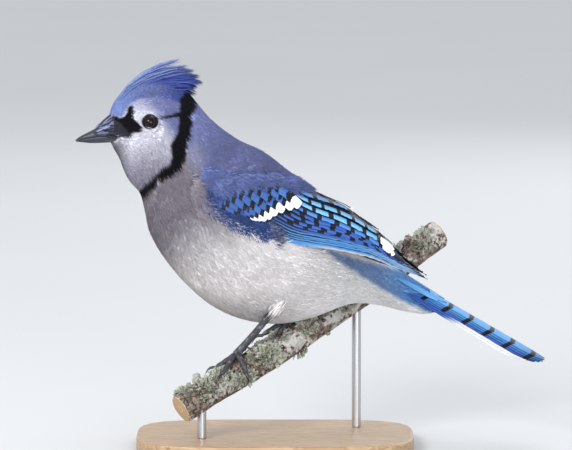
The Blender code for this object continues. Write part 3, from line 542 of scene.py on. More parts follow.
# Tufts over a hull. Each value in tufts is one number a tuft: place, angle, heading (0 is tailwards),
# length, wide, rise of the tip, sink of the root and, if it has one, its own tint.
def growTufts(name, tufts, look, stations=bodyStations):
    blades, rings, count = look["blades"], 2, len(tufts["place"])
    ringWide = (0.8, 1.0, 0.0)
    fan = np.linspace(-1, 1, blades)[None, :] + chance.normal(0, 0.12, (count, blades))

    def each(field, spread=0.0):
        return (tufts[field][:, None] * (1 + spread * chance.uniform(-1, 1, (count, blades)))).ravel()

    length = each("length", 0.13) * (1 - 0.13 * fan.ravel() ** 2)
    heading = each("heading") + (fan * look["spread"]).ravel()
    heading = heading + chance.normal(0, look["stray"], count * blades)
    along, around = hullScale(stations, tufts["place"], tufts["angle"])
    along, around = np.repeat(along, blades), np.repeat(around, blades)
    rootAcross = (fan * tufts["wide"][:, None] * 0.34).ravel()
    place = each("place") - np.sin(heading) * rootAcross / along
    angle = each("angle") + np.cos(heading) * rootAcross / around
    rise, sink = each("rise", 0.3), each("sink")
    bladeWide = each("wide", 0.22) * look["bladeShare"]
    turn = chance.normal(0, look["curl"], count * blades)

    def centre(ring, across, lift):
        t = ring / rings
        way = heading + turn * t
        reach, wide = length * t, bladeWide * ringWide[ring] * across
        p = place + (np.cos(way) * reach - np.sin(way) * wide) / along
        a = angle + (np.sin(way) * reach + np.cos(way) * wide) / around
        return hullPoint(stations, p, a, rise * t**1.2 - sink * (1 - t) ** 1.4 + lift)

    if "tint" in tufts:
        tint = np.repeat(tufts["tint"], blades, 0)
    else:
        middle = centre(1, 0, 0.0) * 0.5 + centre(2, 0, 0.0) * 0.5
        tint = plumage(middle[:, 0], middle[:, 1], middle[:, 2])
    own = chance.normal(1.0, look["shadeVary"], (count, 1)) * chance.normal(1.0, 0.07, (count, blades))
    tint = tint * np.clip(own, 0.5, 1.35).reshape(-1, 1)
    # blades are painted darker at the root and lighter at the tip: partly grey down, partly painted shade in
    # the coat
    dark, pale = look["shades"]
    return buildBlades(name, centre, rings, look["thick"], tint, lambda t: dark + (pale - dark) * t**0.7,
                       rootOnMap(place, angle))


# Roots spread evenly over a stretch of a hull; weight(x, y, z, place, angle) thins them out.
def spreadRoots(count, first, last, weight):
    rows, columns = 260, 240
    place = first + (last - first) * (np.arange(rows) + 0.5) / rows
    angle = -math.pi + 2 * math.pi * (np.arange(columns) + 0.5) / columns
    p, a = np.meshgrid(place, angle, indexing="ij")
    along, around = hullScale(bodyStations, p, a)
    at = hullPoint(bodyStations, p, a)
    share = (along * around * weight(at[..., 0], at[..., 1], at[..., 2], p, a)).ravel()
    total = np.cumsum(share)
    picks = np.searchsorted(total, (np.arange(count) + chance.uniform(0, 1, count)) / count * total[-1])
    picks = np.minimum(picks, rows * columns - 1)
    p = p.ravel()[picks] + chance.uniform(-0.5, 0.5, count) * (last - first) / rows
    a = a.ravel()[picks] + chance.uniform(-0.5, 0.5, count) * 2 * math.pi / columns
    return p, a


# The branch, the same as the solid's, in mm: it runs back mm down and ahead mm up from its middle.
perch = dict(middle=(-1.1, 0.0, 52.0), rise=0.593, yaw=math.radians(27.0), radius=8.4, back=62.0,
             ahead=118.0, bend=5.0)
perchMiddle = np.array(perch["middle"])
perchAhead = unit(np.array([1.0, math.tan(perch["yaw"]), perch["rise"]]))
perchAcross = unit(np.cross(perchAhead, [0, 0, 1.0]))
perchOver = np.cross(perchAcross, perchAhead)
wingRim = wingLower + wingUpper[::-1]
# mm that the coat leaves free round the branch and the eyes, and the soft rim of the wings' outline
clearance = dict(branch=0.2, eyeRoot=4.5, eyeBlade=4.45, wingSoft=2.5)


# 0 where the wings, the eyes, the bill or the branch are, and 1 elsewhere
def clearOfRest(x, y, z):
    away = np.stack([x, y, z], -1) - perchMiddle
    beside = away - (away @ perchAhead)[..., None] * perchAhead
    offBranch = np.linalg.norm(beside, axis=-1) > perch["radius"] + clearance["branch"]
    seenX, seenZ = asSeen(x, y, z)
    offEye = np.hypot(seenX - eyeSpot[0], seenZ - eyeSpot[1]) > clearance["eyeRoot"]
    inWing = outlineMark(wingRim, seenX, seenZ, clearance["wingSoft"]) > 0.96
    offBill = outlineMark(billBase, seenX, seenZ, 0.4) < 0.5
    return (offBranch & offEye & offBill & ~inWing).astype(float)


# the bill's root in the view, where no tuft has its root
billBase = [(-99.9, 174.8), (-91.3, 174.3), (-89.1, 171.0), (-84.8, 168.9), (-79.9, 167.8), (-78.8, 167.0),
            (-79.9, 166.2), (-84.8, 166.0), (-90.2, 165.6), (-99.9, 164.5)]
# The coat's regions, each between two stations. Lengths are in mm, spread, stray and curl in radians, and
# shades are how dark a blade is at its root and its tip.
# The shades' darker roots are partly grey down and partly painted shade deep in the coat.
coat = {
    "face": dict(first=0.03, last=4.9, count=7400, blades=4, length=(3.6, 7.0), wide=1.9, sink=0.8,
                 rise=0.45, bladeShare=0.135, spread=0.18, stray=0.10, curl=0.16, thick=0.16,
                 shadeVary=0.10, shades=(0.42, 1.12)),
    "nape": dict(first=3.9, last=7.6, count=2600, blades=5, length=(6.5, 9.0), wide=2.8, sink=1.4, rise=0.5,
                 bladeShare=0.125, spread=0.18, stray=0.07, curl=0.1, thick=0.18, shadeVary=0.07,
                 shades=(0.62, 1.06)),
    "mantle": dict(first=6.2, last=14.2, count=3600, blades=5, length=(8.5, 11.5), wide=3.2, sink=1.7,
                   rise=0.6, bladeShare=0.125, spread=0.16, stray=0.06, curl=0.08, thick=0.2,
                   shadeVary=0.07, shades=(0.62, 1.06)),
    "breast": dict(first=5.0, last=11.2, count=5650, blades=5, length=(9.0, 13.0), wide=2.9, sink=1.9,
                   rise=0.65, bladeShare=0.09, spread=0.24, stray=0.09, curl=0.14, thick=0.18,
                   shadeVary=0.05, shades=(0.86, 1.04)),
    "belly": dict(first=9.2, last=15.4, count=4850, blades=5, length=(9.8, 14.5), wide=3.2, sink=2.0,
                  rise=0.65, bladeShare=0.088, spread=0.25, stray=0.10, curl=0.14, thick=0.16,
                  shadeVary=0.05, shades=(0.90, 1.04)),
    "vent": dict(first=13.2, last=17.6, count=2300, blades=5, length=(10.0, 14.0), wide=3.2, sink=1.3,
                 rise=0.3, bladeShare=0.12, spread=0.14, stray=0.06, curl=0.08, thick=0.18, shadeVary=0.06,
                 shades=(0.86, 1.06)),
}


# Shortens the tufts whose blades would reach over an eye.
def shortenAtEyes(p, a, heading, length):
    along, around = hullScale(bodyStations, p, a)
    for _ in range(5):
        for t in (0.35, 0.7, 1.0):
            at = hullPoint(bodyStations, p + np.cos(heading) * length * t / along,
                           a + np.sin(heading) * length * t / around)
            seenX, seenZ = asSeen(at[:, 0], at[:, 1], at[:, 2])
            over = np.hypot(seenX - eyeSpot[0], seenZ - eyeSpot[1]) < clearance["eyeBlade"]
            length = np.where(over, length * 0.72, length)
    return length


def growRegion(name):
    spec = coat[name]
    count = spec["count"]
    weight = lambda x, y, z, p, a: clearOfRest(x, y, z) * thickness[name](p, a)
    p, a = spreadRoots(count, spec["first"], spec["last"], weight)
    ends = (p - spec["first"]) / (spec["last"] - spec["first"])
    low, high = spec["length"]
    length = (low + (high - low) * ends) * chance.uniform(0.85, 1.15, count)
    heading = chance.normal(0, 0.05, count)
    if name == "face":
        length = shortenAtEyes(p, a, heading, length)
    wide = spec["wide"] * chance.uniform(0.85, 1.15, count)
    for label, keep in (("left", a < 0), ("right", a >= 0)):
        n = np.count_nonzero(keep)
        tufts = dict(place=p[keep], angle=a[keep], heading=heading[keep], length=length[keep],
                     wide=wide[keep], sink=np.full(n, spec["sink"]), rise=np.full(n, spec["rise"]))
        growTufts("coat_%s_%s" % (name, label), tufts, spec)


def bellyward(a):
    return smoothStep(-np.cos(a), -0.35, 0.15)


# The breast's tufts thin out where the belly's begin.
def bellyShare(p):
    return smoothStep(p, 9.2, 11.2)


# How thickly each region's tufts stand at station p and angle a
thickness = {
    "face": lambda p, a: 1.7 - p / 4,
    "nape": lambda p, a: smoothStep(np.cos(a), -0.6, 0.0),
    "mantle": lambda p, a: 1.02 - bellyward(a),
    "breast": lambda p, a: (0.04 + bellyward(a)) * (1 - bellyShare(p)),
    "belly": lambda p, a: (0.04 + bellyward(a)) * bellyShare(p),
    "vent": lambda p, a: 1.0,
}


# painted shade: the skin takes the coat's colour made darker, as the shade under the coat
skinPaintedShade = 0.8  # the skin is darker than the coat over it


def makeSkin():
    rows, columns = 150, 72
    place = np.linspace(0.0, lastStation, rows)[:, None]
    angle = np.linspace(-math.pi, math.pi, columns, endpoint=False)[None, :]
    sunk = 0.7 + 1.2 * smoothStep(place, 4, 8)  # mm under the hull, where the coat is thicker behind the head
    skin, points = tubePiece("skin", hullPoint(bodyStations, place, angle, -sunk), coatFinish)
    carryColour(skin, "plumage", plumage(points[:, 0], points[:, 1], points[:, 2]) * skinPaintedShade)
    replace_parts(skin, "head", "neck", "torso")


makeSkin()
for region in coat:
    growRegion(region)
print("coat grown")

# Tufts that lie over the wing's edges and over its front, so that it grows out of the coat


# The point a share of the way along a line of points
def alongLine(table, share):
    return catmullRom(table, np.asarray(share) * (len(table) - 1))


# as in the coat, shades paint the blades darker at the root: partly grey down, partly painted shade
cover = dict(blades=5, bladeShare=0.105, spread=0.2, stray=0.09, curl=0.14, thick=0.18, shadeVary=0.08,
             shades=(0.66, 1.06))
scapularLine = [(-42.7, 148.2), (-36.7, 146.6), (-24.3, 145.0), (-10.8, 144.4), (2.7, 144.4), (15.1, 143.9)]
flankLine = [(-47.0, 145.5), (-44.3, 135.2), (-37.3, 127.6), (-26.5, 121.6), (-14.6, 116.7), (-3.8, 111.9),
             (9.2, 108.6), (25.4, 104.3), (41.6, 98.8)]
lesserPatch = [(-41.0, 142.3), (-32.4, 142.3), (-23.2, 139.0), (-21.1, 131.9), (-15.7, 126.5),
               (-7.0, 123.3), (-0.5, 118.4), (-7.0, 114.6), (-18.9, 118.9), (-30.8, 124.9), (-40.5, 131.4)]


# A row of tufts on each side, rooted in the body along a line; heading and rise change from end to end.
def edgeTufts(name, table, count, band, heading, length, rise, wide, tint, last=1.0):
    for label, side in sides.items():
        share = last * (np.arange(count) + chance.uniform(0, 1, count)) / count
        spots = alongLine(table, share)
        spots[:, 1] += chance.uniform(*band, count)
        roots = seenPlaces(bodyStations, spots)
        headings = side * (heading[0] + (heading[1] - heading[0]) * share) + chance.normal(0, 0.08, count)
        tufts = dict(place=roots[:, 0], angle=side * roots[:, 1], heading=headings,
                     length=chance.uniform(*length, count), wide=wide * chance.uniform(0.85, 1.15, count),
                     sink=np.full(count, 2.0), rise=rise[0] + (rise[1] - rise[0]) * share, tint=tint(count))
        growTufts("%s_%s" % (name, label), tufts, cover)


def scapularTint(count):
    return blend(tints["scapular"], tints["mantle"], chance.uniform(0, 0.5, count))


def flankTint(count):
    return blend(tints["breast"], tints["belly"], smoothStep(np.linspace(0, 1, count), 0.1, 0.6))


edgeTufts("scapulars", scapularLine, 620, band=(-2.5, 5.0), heading=(0.0, 0.0), length=(8.5, 12.0),
          rise=(2.4, 1.9), wide=3.0, tint=scapularTint)
edgeTufts("flank", flankLine, 900, band=(-5.0, 1.2), heading=(-0.32, -0.06), length=(8.0, 13.0),
          rise=(3.0, 1.4), wide=2.8, tint=flankTint, last=0.86)


# Small feathers on each wing with roots inside an outline, root mm over the wing's hull
def patchTufts(name, patch, count, tint, length, wide, root, rise):
    low, high = np.min(patch, 0), np.max(patch, 0)
    for label, side in sides.items():
        spots = []
        while len(spots) < count:
            x, z = chance.uniform(low, high)
            if outlineMark(patch, np.array(x), np.array(z), 0.3) > 0.5:
                spots.append((x, z))
        roots = seenPlaces(wingStations, spots)
        headings = side * chance.normal(0.05, 0.1, count)
        tufts = dict(place=roots[:, 0], angle=side * roots[:, 1], heading=headings,
                     length=chance.uniform(*length, count), wide=chance.uniform(*wide, count),
                     sink=np.full(count, -root), rise=np.full(count, rise), tint=tint(count))
        growTufts("%s_%s" % (name, label), tufts, cover, wingStations)


def lesserTint(count):
    return tints["lesser"] * chance.uniform(0.7, 1.35, (count, 1))


shoulderPatch = [(-37.3, 143.9), (-29.7, 146.1), (-18.9, 147.7), (-7.0, 148.2), (7.0, 146.6), (9.7, 143.4),
                 (-5.9, 143.9), (-18.9, 142.8), (-26.5, 140.1), (-33.5, 138.5)]
patchTufts("lesserCoverts", lesserPatch, 400, lesserTint, length=(5.0, 8.0), wide=(2.2, 3.0), root=1.4,
           rise=2.6)
patchTufts("shoulderCoverts", shoulderPatch, 230, scapularTint, length=(7.0, 10.0), wide=(2.4, 3.2), root=1.8,
           rise=3.0)
# fluff with pale fringes over the gap under the white wing bar
notchLine = [(-9.2, 121.6), (-6.5, 118.4), (-4.9, 114.0), (-3.8, 111.3)]


def notchTint(count):
    pale = chance.uniform(0, 1, (count, 1)) > 0.62
    dark = tints["notch"][None] * chance.uniform(0.7, 1.8, (count, 1))
    return np.where(pale, tints["fringe"][None], dark)


edgeTufts("notch", notchLine, 90, band=(-1.0, 1.0), heading=(-0.25, -0.55), length=(9.0, 12.5),
          rise=(3.1, 2.9), wide=1.7, tint=notchTint)
print("edges of the wings covered")

# Vanes: flat feathers drawn one by one, each a thin closed sheet


def vanePaint():
    paint = Paint("barredFeather", Roughness=0.5, Specular_IOR_Level=0.2)
    barAlong, across, toTip = paint.split(paint.carried("vaneAt", 1))
    white, pitch, share = paint.split(paint.carried("vaneMarks", 1))
    inner = paint.carried("vaneMarks", 3)
    edge = paint.maths("ABSOLUTE", across)
    grain = paint.noise(420.0)
    barbs = paint.maths("SINE", toTip * 15.0 + edge * 14.0 + grain * 8.0)
    fromWhite = toTip + edge * 0.7 + (grain - 0.5) * 1.1 - white
    turn = paint.maths("FRACT", (barAlong + (grain - 0.5) * 0.8) / pitch)
    far = paint.maths("ABSOLUTE", turn - share * 0.5)
    wrap = paint.maths("MINIMUM", far, 1.0 - far)
    bar = paint.step(share * 0.5 - wrap, -0.02, 0.03) * paint.step(barAlong, -0.3, 0.1)
    base = paint.scale(paint.carried("plumage"), 0.80 + barbs * 0.10 + grain * 0.26)
    base = paint.mix(paint.step(inner - across, -0.04, 0.10), base, (0.010, 0.013, 0.028))
    base = paint.mix(bar, base, (0.006, 0.007, 0.013))
    tip = paint.step(-1.0 * fromWhite, -0.2, 0.3) * paint.step(white, 0.1, 0.3)
    base = paint.mix(tip, base, (0.88, 0.90, 0.95))
    shaft = paint.step(0.05 - paint.maths("ABSOLUTE", across - inner), 0.0, 0.035)
    base = paint.mix(shaft * 0.9 * (1.0 - tip), base, (0.008, 0.008, 0.014))
    paint.bump(barbs * 0.4 + grain, 0.3, 0.0002)
    return paint.feed(Base_Color=base)


vaneFinish = vanePaint()


# Each vertex carries mm from the tip for the bars, its place across (-1 to 1) and mm from the tip, and its
# feather's marks: white tip mm, bar pitch mm, black share of it, where the shaft is across.
class Vanes:
    def __init__(self):
        self.points, self.faces, self.maps = [], [], []
        self.carried = {"plumage": [], "vaneAt": [], "vaneMarks": []}
        self.count = self.total = 0

    # line(t, across, lift) gives points and shade(t, a) colours; t runs 0 to 1 and a from -1 to 1.
    def add(self, line, length, half, shade, lift, marks, rows=26, columns=9, thick=0.10, tipStart=None,
            tipPower=2.0, ragged=0.05, rootWide=0.55, barFrom=None):
        t = 1 - (1 - np.linspace(0, 1, rows)[:, None]) ** 1.3
        a = np.linspace(-1, 1, columns)[None, :]
        start = 1 - min(0.6, 1.15 * half / length) if tipStart is None else tipStart
        end = np.clip((t - start) / (1 - start), 0, 1)
        wide = np.clip(1 - end**tipPower, 0, 1) ** (1 / tipPower)
        wide = np.maximum(wide, 0.02) * (rootWide + (1 - rootWide) * smoothStep(t, 0.0, 0.4))
        notch = 1 + chance.normal(0, ragged, (rows, 2))
        for _ in range(2):
            cut, deep = chance.uniform(0.3, 0.95), chance.uniform(0.0, 3.2 * ragged)
            notch[:, chance.integers(0, 2)] -= deep * np.exp(-(((t[:, 0] - cut) / 0.02) ** 2))
        across = half * wide * a * np.where(a < 0, notch[:, :1], notch[:, 1:])
        top, under = (line(t, across, lift(t, a) + up).reshape(-1, 3) for up in (thick, 0.0))
        n = rows * columns
        self.faces.append(sheetFaces(rows, columns, self.total))
        self.points += [top, under]
        self.total += 2 * n
        toTip = (1 - t) * length + 0 * a
        barAlong = toTip - marks[0] + np.abs(a) * 0.9 if barFrom is None else barFrom(toTip, across)
        at = np.stack([barAlong, a + 0 * t, toTip], -1).reshape(-1, 3)
        tint = np.broadcast_to(shade(t, a), (rows, columns, 3)).reshape(-1, 3)
        self.carried["vaneAt"].append(np.tile(at, (2, 1)))
        self.carried["plumage"].append(np.tile(tint, (2, 1)))
        self.carried["vaneMarks"].append(np.tile(np.array(marks, float), (2 * n, 1)))
        u, v = np.broadcast_arrays(t, a * 0.5 + 0.5)
        for layer in (0, 1):
            self.maps.append(np.stack([u.ravel(), v.ravel(), np.full(n, self.count * 2 + layer)], -1))
        self.count += 1

    def build(self, name):
        points, corners = np.concatenate(self.points), np.concatenate(self.faces)
        made = meshPiece(name, points, outward(points, corners), vaneFinish)
        carryColour(made, "plumage", np.concatenate(self.carried["plumage"]))
        carry(made, "vaneAt", np.concatenate(self.carried["vaneAt"]))
        carry(made, "vaneMarks", np.concatenate(self.carried["vaneMarks"]))
        maps = np.concatenate(self.maps)
        down = 4 * math.ceil(math.sqrt(self.count * 2 / 4))
        wide = math.ceil(self.count * 2 / down)
        column, row = np.divmod(maps[:, 2], down)
        u, v = column + 0.02 + 0.96 * maps[:, 0], row + 0.06 + 0.88 * maps[:, 1]
        addBakeMap(made, np.stack([u / wide, v / down], -1))
        return made


wingInset = math.radians(3.0)  # the nearest that a wing's feathers come to the middle of the back
seenLift = 1.5  # mm over the hull at which the wings' feathers are placed in the view


# A line over the wing's hull between two spots of the view, and its length
def wingLine(root, tip, side, bow=0.0):
    p0, a0 = seenPlace(wingStations, *root, seenLift)
    p1, a1 = seenPlace(wingStations, *tip, seenLift)
    scaleP, scaleA = hullScale(wingStations, (p0 + p1) / 2, (a0 + a1) / 2)
    length = math.hypot((p1 - p0) * scaleP, (a1 - a0) * scaleA)

    def line(t, across, lift):
        t, across, lift = np.broadcast_arrays(t, across, lift)
        p, a = p0 + (p1 - p0) * t, a0 + (a1 - a0) * t
        scaleP, scaleA = hullScale(wingStations, p, np.maximum(a, 0.3))
        aheadP, aheadA = (p1 - p0) * scaleP, (a1 - a0) * scaleA
        off = (across + bow * np.sin(math.pi * t)) / np.hypot(aheadP, aheadA)
        p, a = p - aheadA * off / scaleP, a + aheadP * off / scaleA
        return hullPoint(wingStations, p, side * np.maximum(a, wingInset), lift)

    return line, length


# Lift off the hull: the outer edge stands higher, so that it lies over the next feather down.
def stackLift(low, high, tilt):
    def lift(t, a):
        rise = smoothStep(t, 0.0, 0.45)
        return low + (high - low) * rise + tilt * (0.3 + 0.7 * rise) * (a + 1) / 2 - 0.12 * a * a
    return lift


blues = {
    "cyan": (0.19, 0.50, 0.86), "bright": (0.085, 0.25, 0.62), "violet": (0.045, 0.125, 0.44),
    "stripe": (0.075, 0.25, 0.56), "cover": (0.034, 0.084, 0.285), "grey": (0.48, 0.52, 0.56),
    "tail": (0.105, 0.325, 0.66), "tailDuskAndShade": (0.035, 0.10, 0.42), "tailPale": (0.66, 0.67, 0.70),
}
blues = {name: np.array(tint) for name, tint in blues.items()}

noBars = 80.0  # a bar pitch longer than any feather
noShaft = -2.0  # a place for the shaft off the feather
# The long feathers from the back's edge down: root, tip, half width mm, where the shaft is across, tint,
# white tip mm, bar pitch mm, black share
longFeathers = [
    ((8.6, 143.4), (42.1, 128.1), 3.0, -0.35, "bright", 1.6, 9.2, 0.30),
    ((7.6, 141.7), (56.2, 116.2), 3.2, -0.1, "cyan", 0.0, 9.4, 0.26),
    ((6.5, 139.6), (64.5, 107.5), 3.4, 0.0, "cyan", 10.5, 10.0, 0.28),
    ((4.9, 137.4), (63.7, 106.4), 3.3, 0.15, "bright", 8.0, 9.4, 0.30),
    ((3.2, 135.2), (64.8, 105.1), 3.2, 0.25, "violet", 3.0, 9.0, 0.34),
    ((1.6, 133.0), (66.4, 103.7), 3.0, 0.3, "violet", 0.0, 8.2, 0.36),
    ((0.0, 131.1), (68.0, 102.4), 3.0, 0.35, "violet", 0.0, 7.8, 0.40),
    ((-1.1, 129.2), (70.2, 100.7), 2.8, 0.4, "violet", 0.0, 8.4, 0.40),
    ((-2.2, 127.6), (72.4, 99.1), 2.8, 0.52, "violet", 0.0, noBars, 0.0),
    ((-2.7, 126.0), (75.1, 97.2), 2.6, 0.62, "stripe", 0.0, noBars, 0.0),
    ((-2.7, 124.1), (77.8, 95.0), 2.6, 0.62, "stripe", 0.0, noBars, 0.0),
    ((-2.2, 122.2), (80.5, 93.1), 2.6, 0.62, "stripe", 0.0, noBars, 0.0),
    ((-1.1, 120.3), (82.4, 91.5), 2.6, 0.62, "stripe", 0.0, noBars, 0.0),
    ((0.5, 118.4), (77.8, 93.4), 2.5, 0.62, "stripe", 0.0, noBars, 0.0),
    ((2.2, 116.5), (74.0, 95.2), 2.4, 0.60, "grey", 0.0, noBars, 0.0),
    ((3.8, 114.8), (69.1, 97.6), 2.2, 0.62, "grey", 0.0, noBars, 0.0),
    ((5.4, 113.5), (64.3, 99.9), 2.2, 0.62, "grey", 0.0, noBars, 0.0),
]
# Rows of coverts: roots along a line, tips along a line, count, half width mm, lift at root and tip mm,
# and white tip mm, bar pitch mm, black share
coverRows = [
    ([(-24.8, 133.0), (-19.4, 135.2), (-11.3, 139.0), (2.2, 141.7)],
     [(-8.4, 125.7), (-3.2, 125.2), (3.8, 128.7), (13.5, 130.9)],
     8, 3.1, (0.8, 2.1), (5.4, 6.4, 0.40)),
    ([(-34.0, 135.2), (-26.5, 140.1), (-15.7, 143.4), (-3.8, 143.9)],
     [(-20.0, 128.4), (-14.0, 130.9), (-3.8, 134.1), (7.6, 136.3)],
     8, 2.7, (1.1, 2.5), (0.0, 7.2, 0.34)),
]


def growWing(name, side):
    vanes = Vanes()
    for k, (root, tip, half, inner, tint, white, pitch, share) in enumerate(longFeathers):
        line, length = wingLine(root, tip, side, bow=-0.5)
        own = blues[tint] * chance.uniform(0.9, 1.1)

        def shade(t, a):
            edge = 0.6 + 0.4 * smoothStep(a, inner, 0.95)
            hue = own * (edge * (1 - 0.75 * smoothStep(t, 0.9, 0.99)))[..., None]
            if tint == "stripe":
                return blend(hue, blues["grey"], smoothStep(t, 0.45, 0.95) * smoothStep(a, 0.7, 0.9) * 0.6)
            if tint == "grey":
                return blend(blues["stripe"] + 0 * hue, hue, smoothStep(t, 0.15, 0.45) + 0 * a)
            return hue

        over = 1 - k / len(longFeathers)  # the upper feathers lie over the lower ones
        pointed = dict(tipStart=0.80, tipPower=1.5) if pitch == noBars else {}
        vanes.add(line, length, half, shade, stackLift(0.5, 0.7 + 0.5 * over, 1.5),
                  (white, pitch, share, inner), rows=44, **pointed)
    for roots, tips, count, half, (low, high), marking in coverRows:
        for i in range(count):
            u = i / (count - 1)
            line, length = wingLine(alongLine(roots, u), alongLine(tips, u), side)
            own = blend(blues["cover"], blues["bright"], 0.02 + 0.38 * u * chance.uniform(0.6, 1))
            own = own * chance.uniform(0.85, 1.12)
            shade = lambda t, a: own * (0.75 + 0.25 * smoothStep(a, -0.7, 0.3) + 0 * t)[..., None]
            white = marking[0] * (1.25 if i == count - 1 else 1.0)
            vanes.add(line, length, half * chance.uniform(0.95, 1.05), shade, stackLift(low, high, 0.7),
                      (white, *marking[1:], noShaft), rows=24, tipPower=3.6, tipStart=0.80, ragged=0.03,
                      rootWide=0.75)
    made = vanes.build("wingFeathers_" + name)
    # a thin dark sheet under the feathers
    rows, columns = 30, 12
    share = np.linspace(0.04, 0.9, rows)
    low = seenPlaces(wingStations, alongLine(wingLower, share))[:, None]
    high = seenPlaces(wingStations, alongLine(wingUpper, share))[:, None]
    at = low + (high - low) * np.linspace(0.06, 0.94, columns)[None, :, None]
    angle = side * np.maximum(at[..., 1], wingInset)
    layers = [hullPoint(wingStations, at[..., 0], angle, lift).reshape(-1, 3) for lift in (0.6, 0.2)]
    points = np.concatenate(layers)
    corners = outward(points, sheetFaces(rows, columns))
    meshPiece("wingSheet_" + name, points, corners, duskFinish)
    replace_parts(made, "wing_" + name)


def duskPaint():
    paint = Paint("duskyFeather", Roughness=0.7)
    return paint.feed(Base_Color=paint.mix(paint.noise(300.0), (0.008, 0.01, 0.022), (0.028, 0.034, 0.06)))


duskFinish = duskPaint()
for name, side in sides.items():
    growWing(name, side)
print("wings grown")

# Tail: its near side turns down, and each pair of feathers lies under the one before. Sizes in mm.
tail = dict(root=(50.0, 0.0, 103.6), tip=(146.0, 0.0, 48.0), roll=math.radians(11.0), pairs=6, step=0.5,
            first=1.5, spacing=1.6, half=4.3, shorter=0.0045, tent=0.015, barPitch=12.9, barShare=0.22,
            firstBar=5.6, barSlant=0.62, palePair=4)
tailCoverts = dict(count=14, half=3.4, spread=5.5, back=6.0)
# the coverts' two layers, over and under the tail's root: how far they stand off, tint, length
tailLayers = [(2.0, blues["tail"], 56.0), (-7.0, tints["vent"], 54.0)]
tailRoot = np.array(tail["root"])
tailLength = np.linalg.norm(np.array(tail["tip"]) - tailRoot)
tailAhead = (np.array(tail["tip"]) - tailRoot) / tailLength
tailSide = np.array(Matrix.Rotation(tail["roll"], 3, Vector(tailAhead)) @ Vector((0, 1, 0)))
tailUp = np.cross(tailAhead, tailSide)


# A point reach mm down the tail, across mm to its side and lift mm over its sloping top
def tailPoint(reach, across, lift):
    at = tailRoot + tailAhead * reach[..., None] + tailSide * across[..., None]
    return at + tailUp * (lift - tail["tent"] * across**2)[..., None]


def growTailFeather(vanes, pair, side):
    end = 1 - tail["shorter"] * pair * pair
    middle = tail["first"] + tail["spacing"] * pair

    def offset(t, across):
        return side * middle * (0.55 + 0.45 * t) + across

    def line(t, across, lift):
        t, across, lift = np.broadcast_arrays(t, across, lift)
        return tailPoint(tailLength * t * end, offset(t, across), lift)

    def barFrom(toTip, across):
        t = 1 - toTip / (tailLength * end)
        out = np.maximum(np.abs(offset(t, across)) - 3.5, 0)
        return tailLength * (1 - t * end) - tail["firstBar"] - tail["barSlant"] * out

    def shade(t, a):
        out = np.abs(side * middle + tail["half"] * a) / 13.0
        # the outer part of the tail goes to a darker blue: partly the duskier inner webs, partly painted
        # shade on the outer feathers
        low = smoothStep(out + 0.25 * t, 0.45, 1.0)
        hue = blend(blues["tail"] + 0 * (t + a)[..., None], blues["tailDuskAndShade"], low)
        hue = hue * (1 - 0.45 * smoothStep(t, 0.82, 1.0) + 0 * a)[..., None]
        hue = hue * (0.45 + 0.55 * smoothStep(np.abs(a), 1.0, 0.82) + 0 * t)[..., None]
        pale = smoothStep(side * a, -0.2, 0.5) * smoothStep(t, 0.5, 0.62) * (pair >= tail["palePair"])
        return blend(hue, blues["tailPale"], pale)

    def lift(t, a):
        return -tail["step"] * pair - 0.25 * a * a + 0 * t

    share = tail["barShare"] if pair < tail["palePair"] else 0.0
    vanes.add(line, tailLength * end, tail["half"], shade, lift, (0.0, tail["barPitch"], share, noShaft),
              rows=60, columns=13, thick=0.2, tipStart=0.86, tipPower=1.7, rootWide=0.5, ragged=0.02,
              barFrom=barFrom)


def growTailCovert(vanes, layer, rise, tint, long):
    place, reach = chance.uniform(-1, 1), long * chance.uniform(0.75, 1.0)

    def line(t, across, lift):
        t, across, lift = np.broadcast_arrays(t, across, lift)
        across = place * tailCoverts["spread"] * (0.8 + 0.3 * t) + across
        return tailPoint(reach * t - tailCoverts["back"], across, lift)

    def lift(t, a):
        return rise * (1.25 - 1.1 * t) - 0.3 * a * a + 0.02 * layer

    own = tint * chance.uniform(0.75, 1.05)
    shade = lambda t, a: own * (0.7 + 0.35 * t + 0 * a)[..., None]
    vanes.add(line, reach, tailCoverts["half"], shade, lift, (0.0, noBars, 0.0, noShaft), rows=20,
              thick=0.15, tipStart=0.6, ragged=0.04)


def growTail():
    vanes = Vanes()
    for pair in range(tail["pairs"]):
        for side in (left, right):
            growTailFeather(vanes, pair, side)
    for rise, tint, long in tailLayers:
        for layer in range(tailCoverts["count"]):
            growTailCovert(vanes, layer, rise, tint, long)
    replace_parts(vanes.build("tailFeathers"), "tail")


growTail()
print("tail grown")

# Strands: tufts on free curves from root over bend to tip, for the crest and the bristles


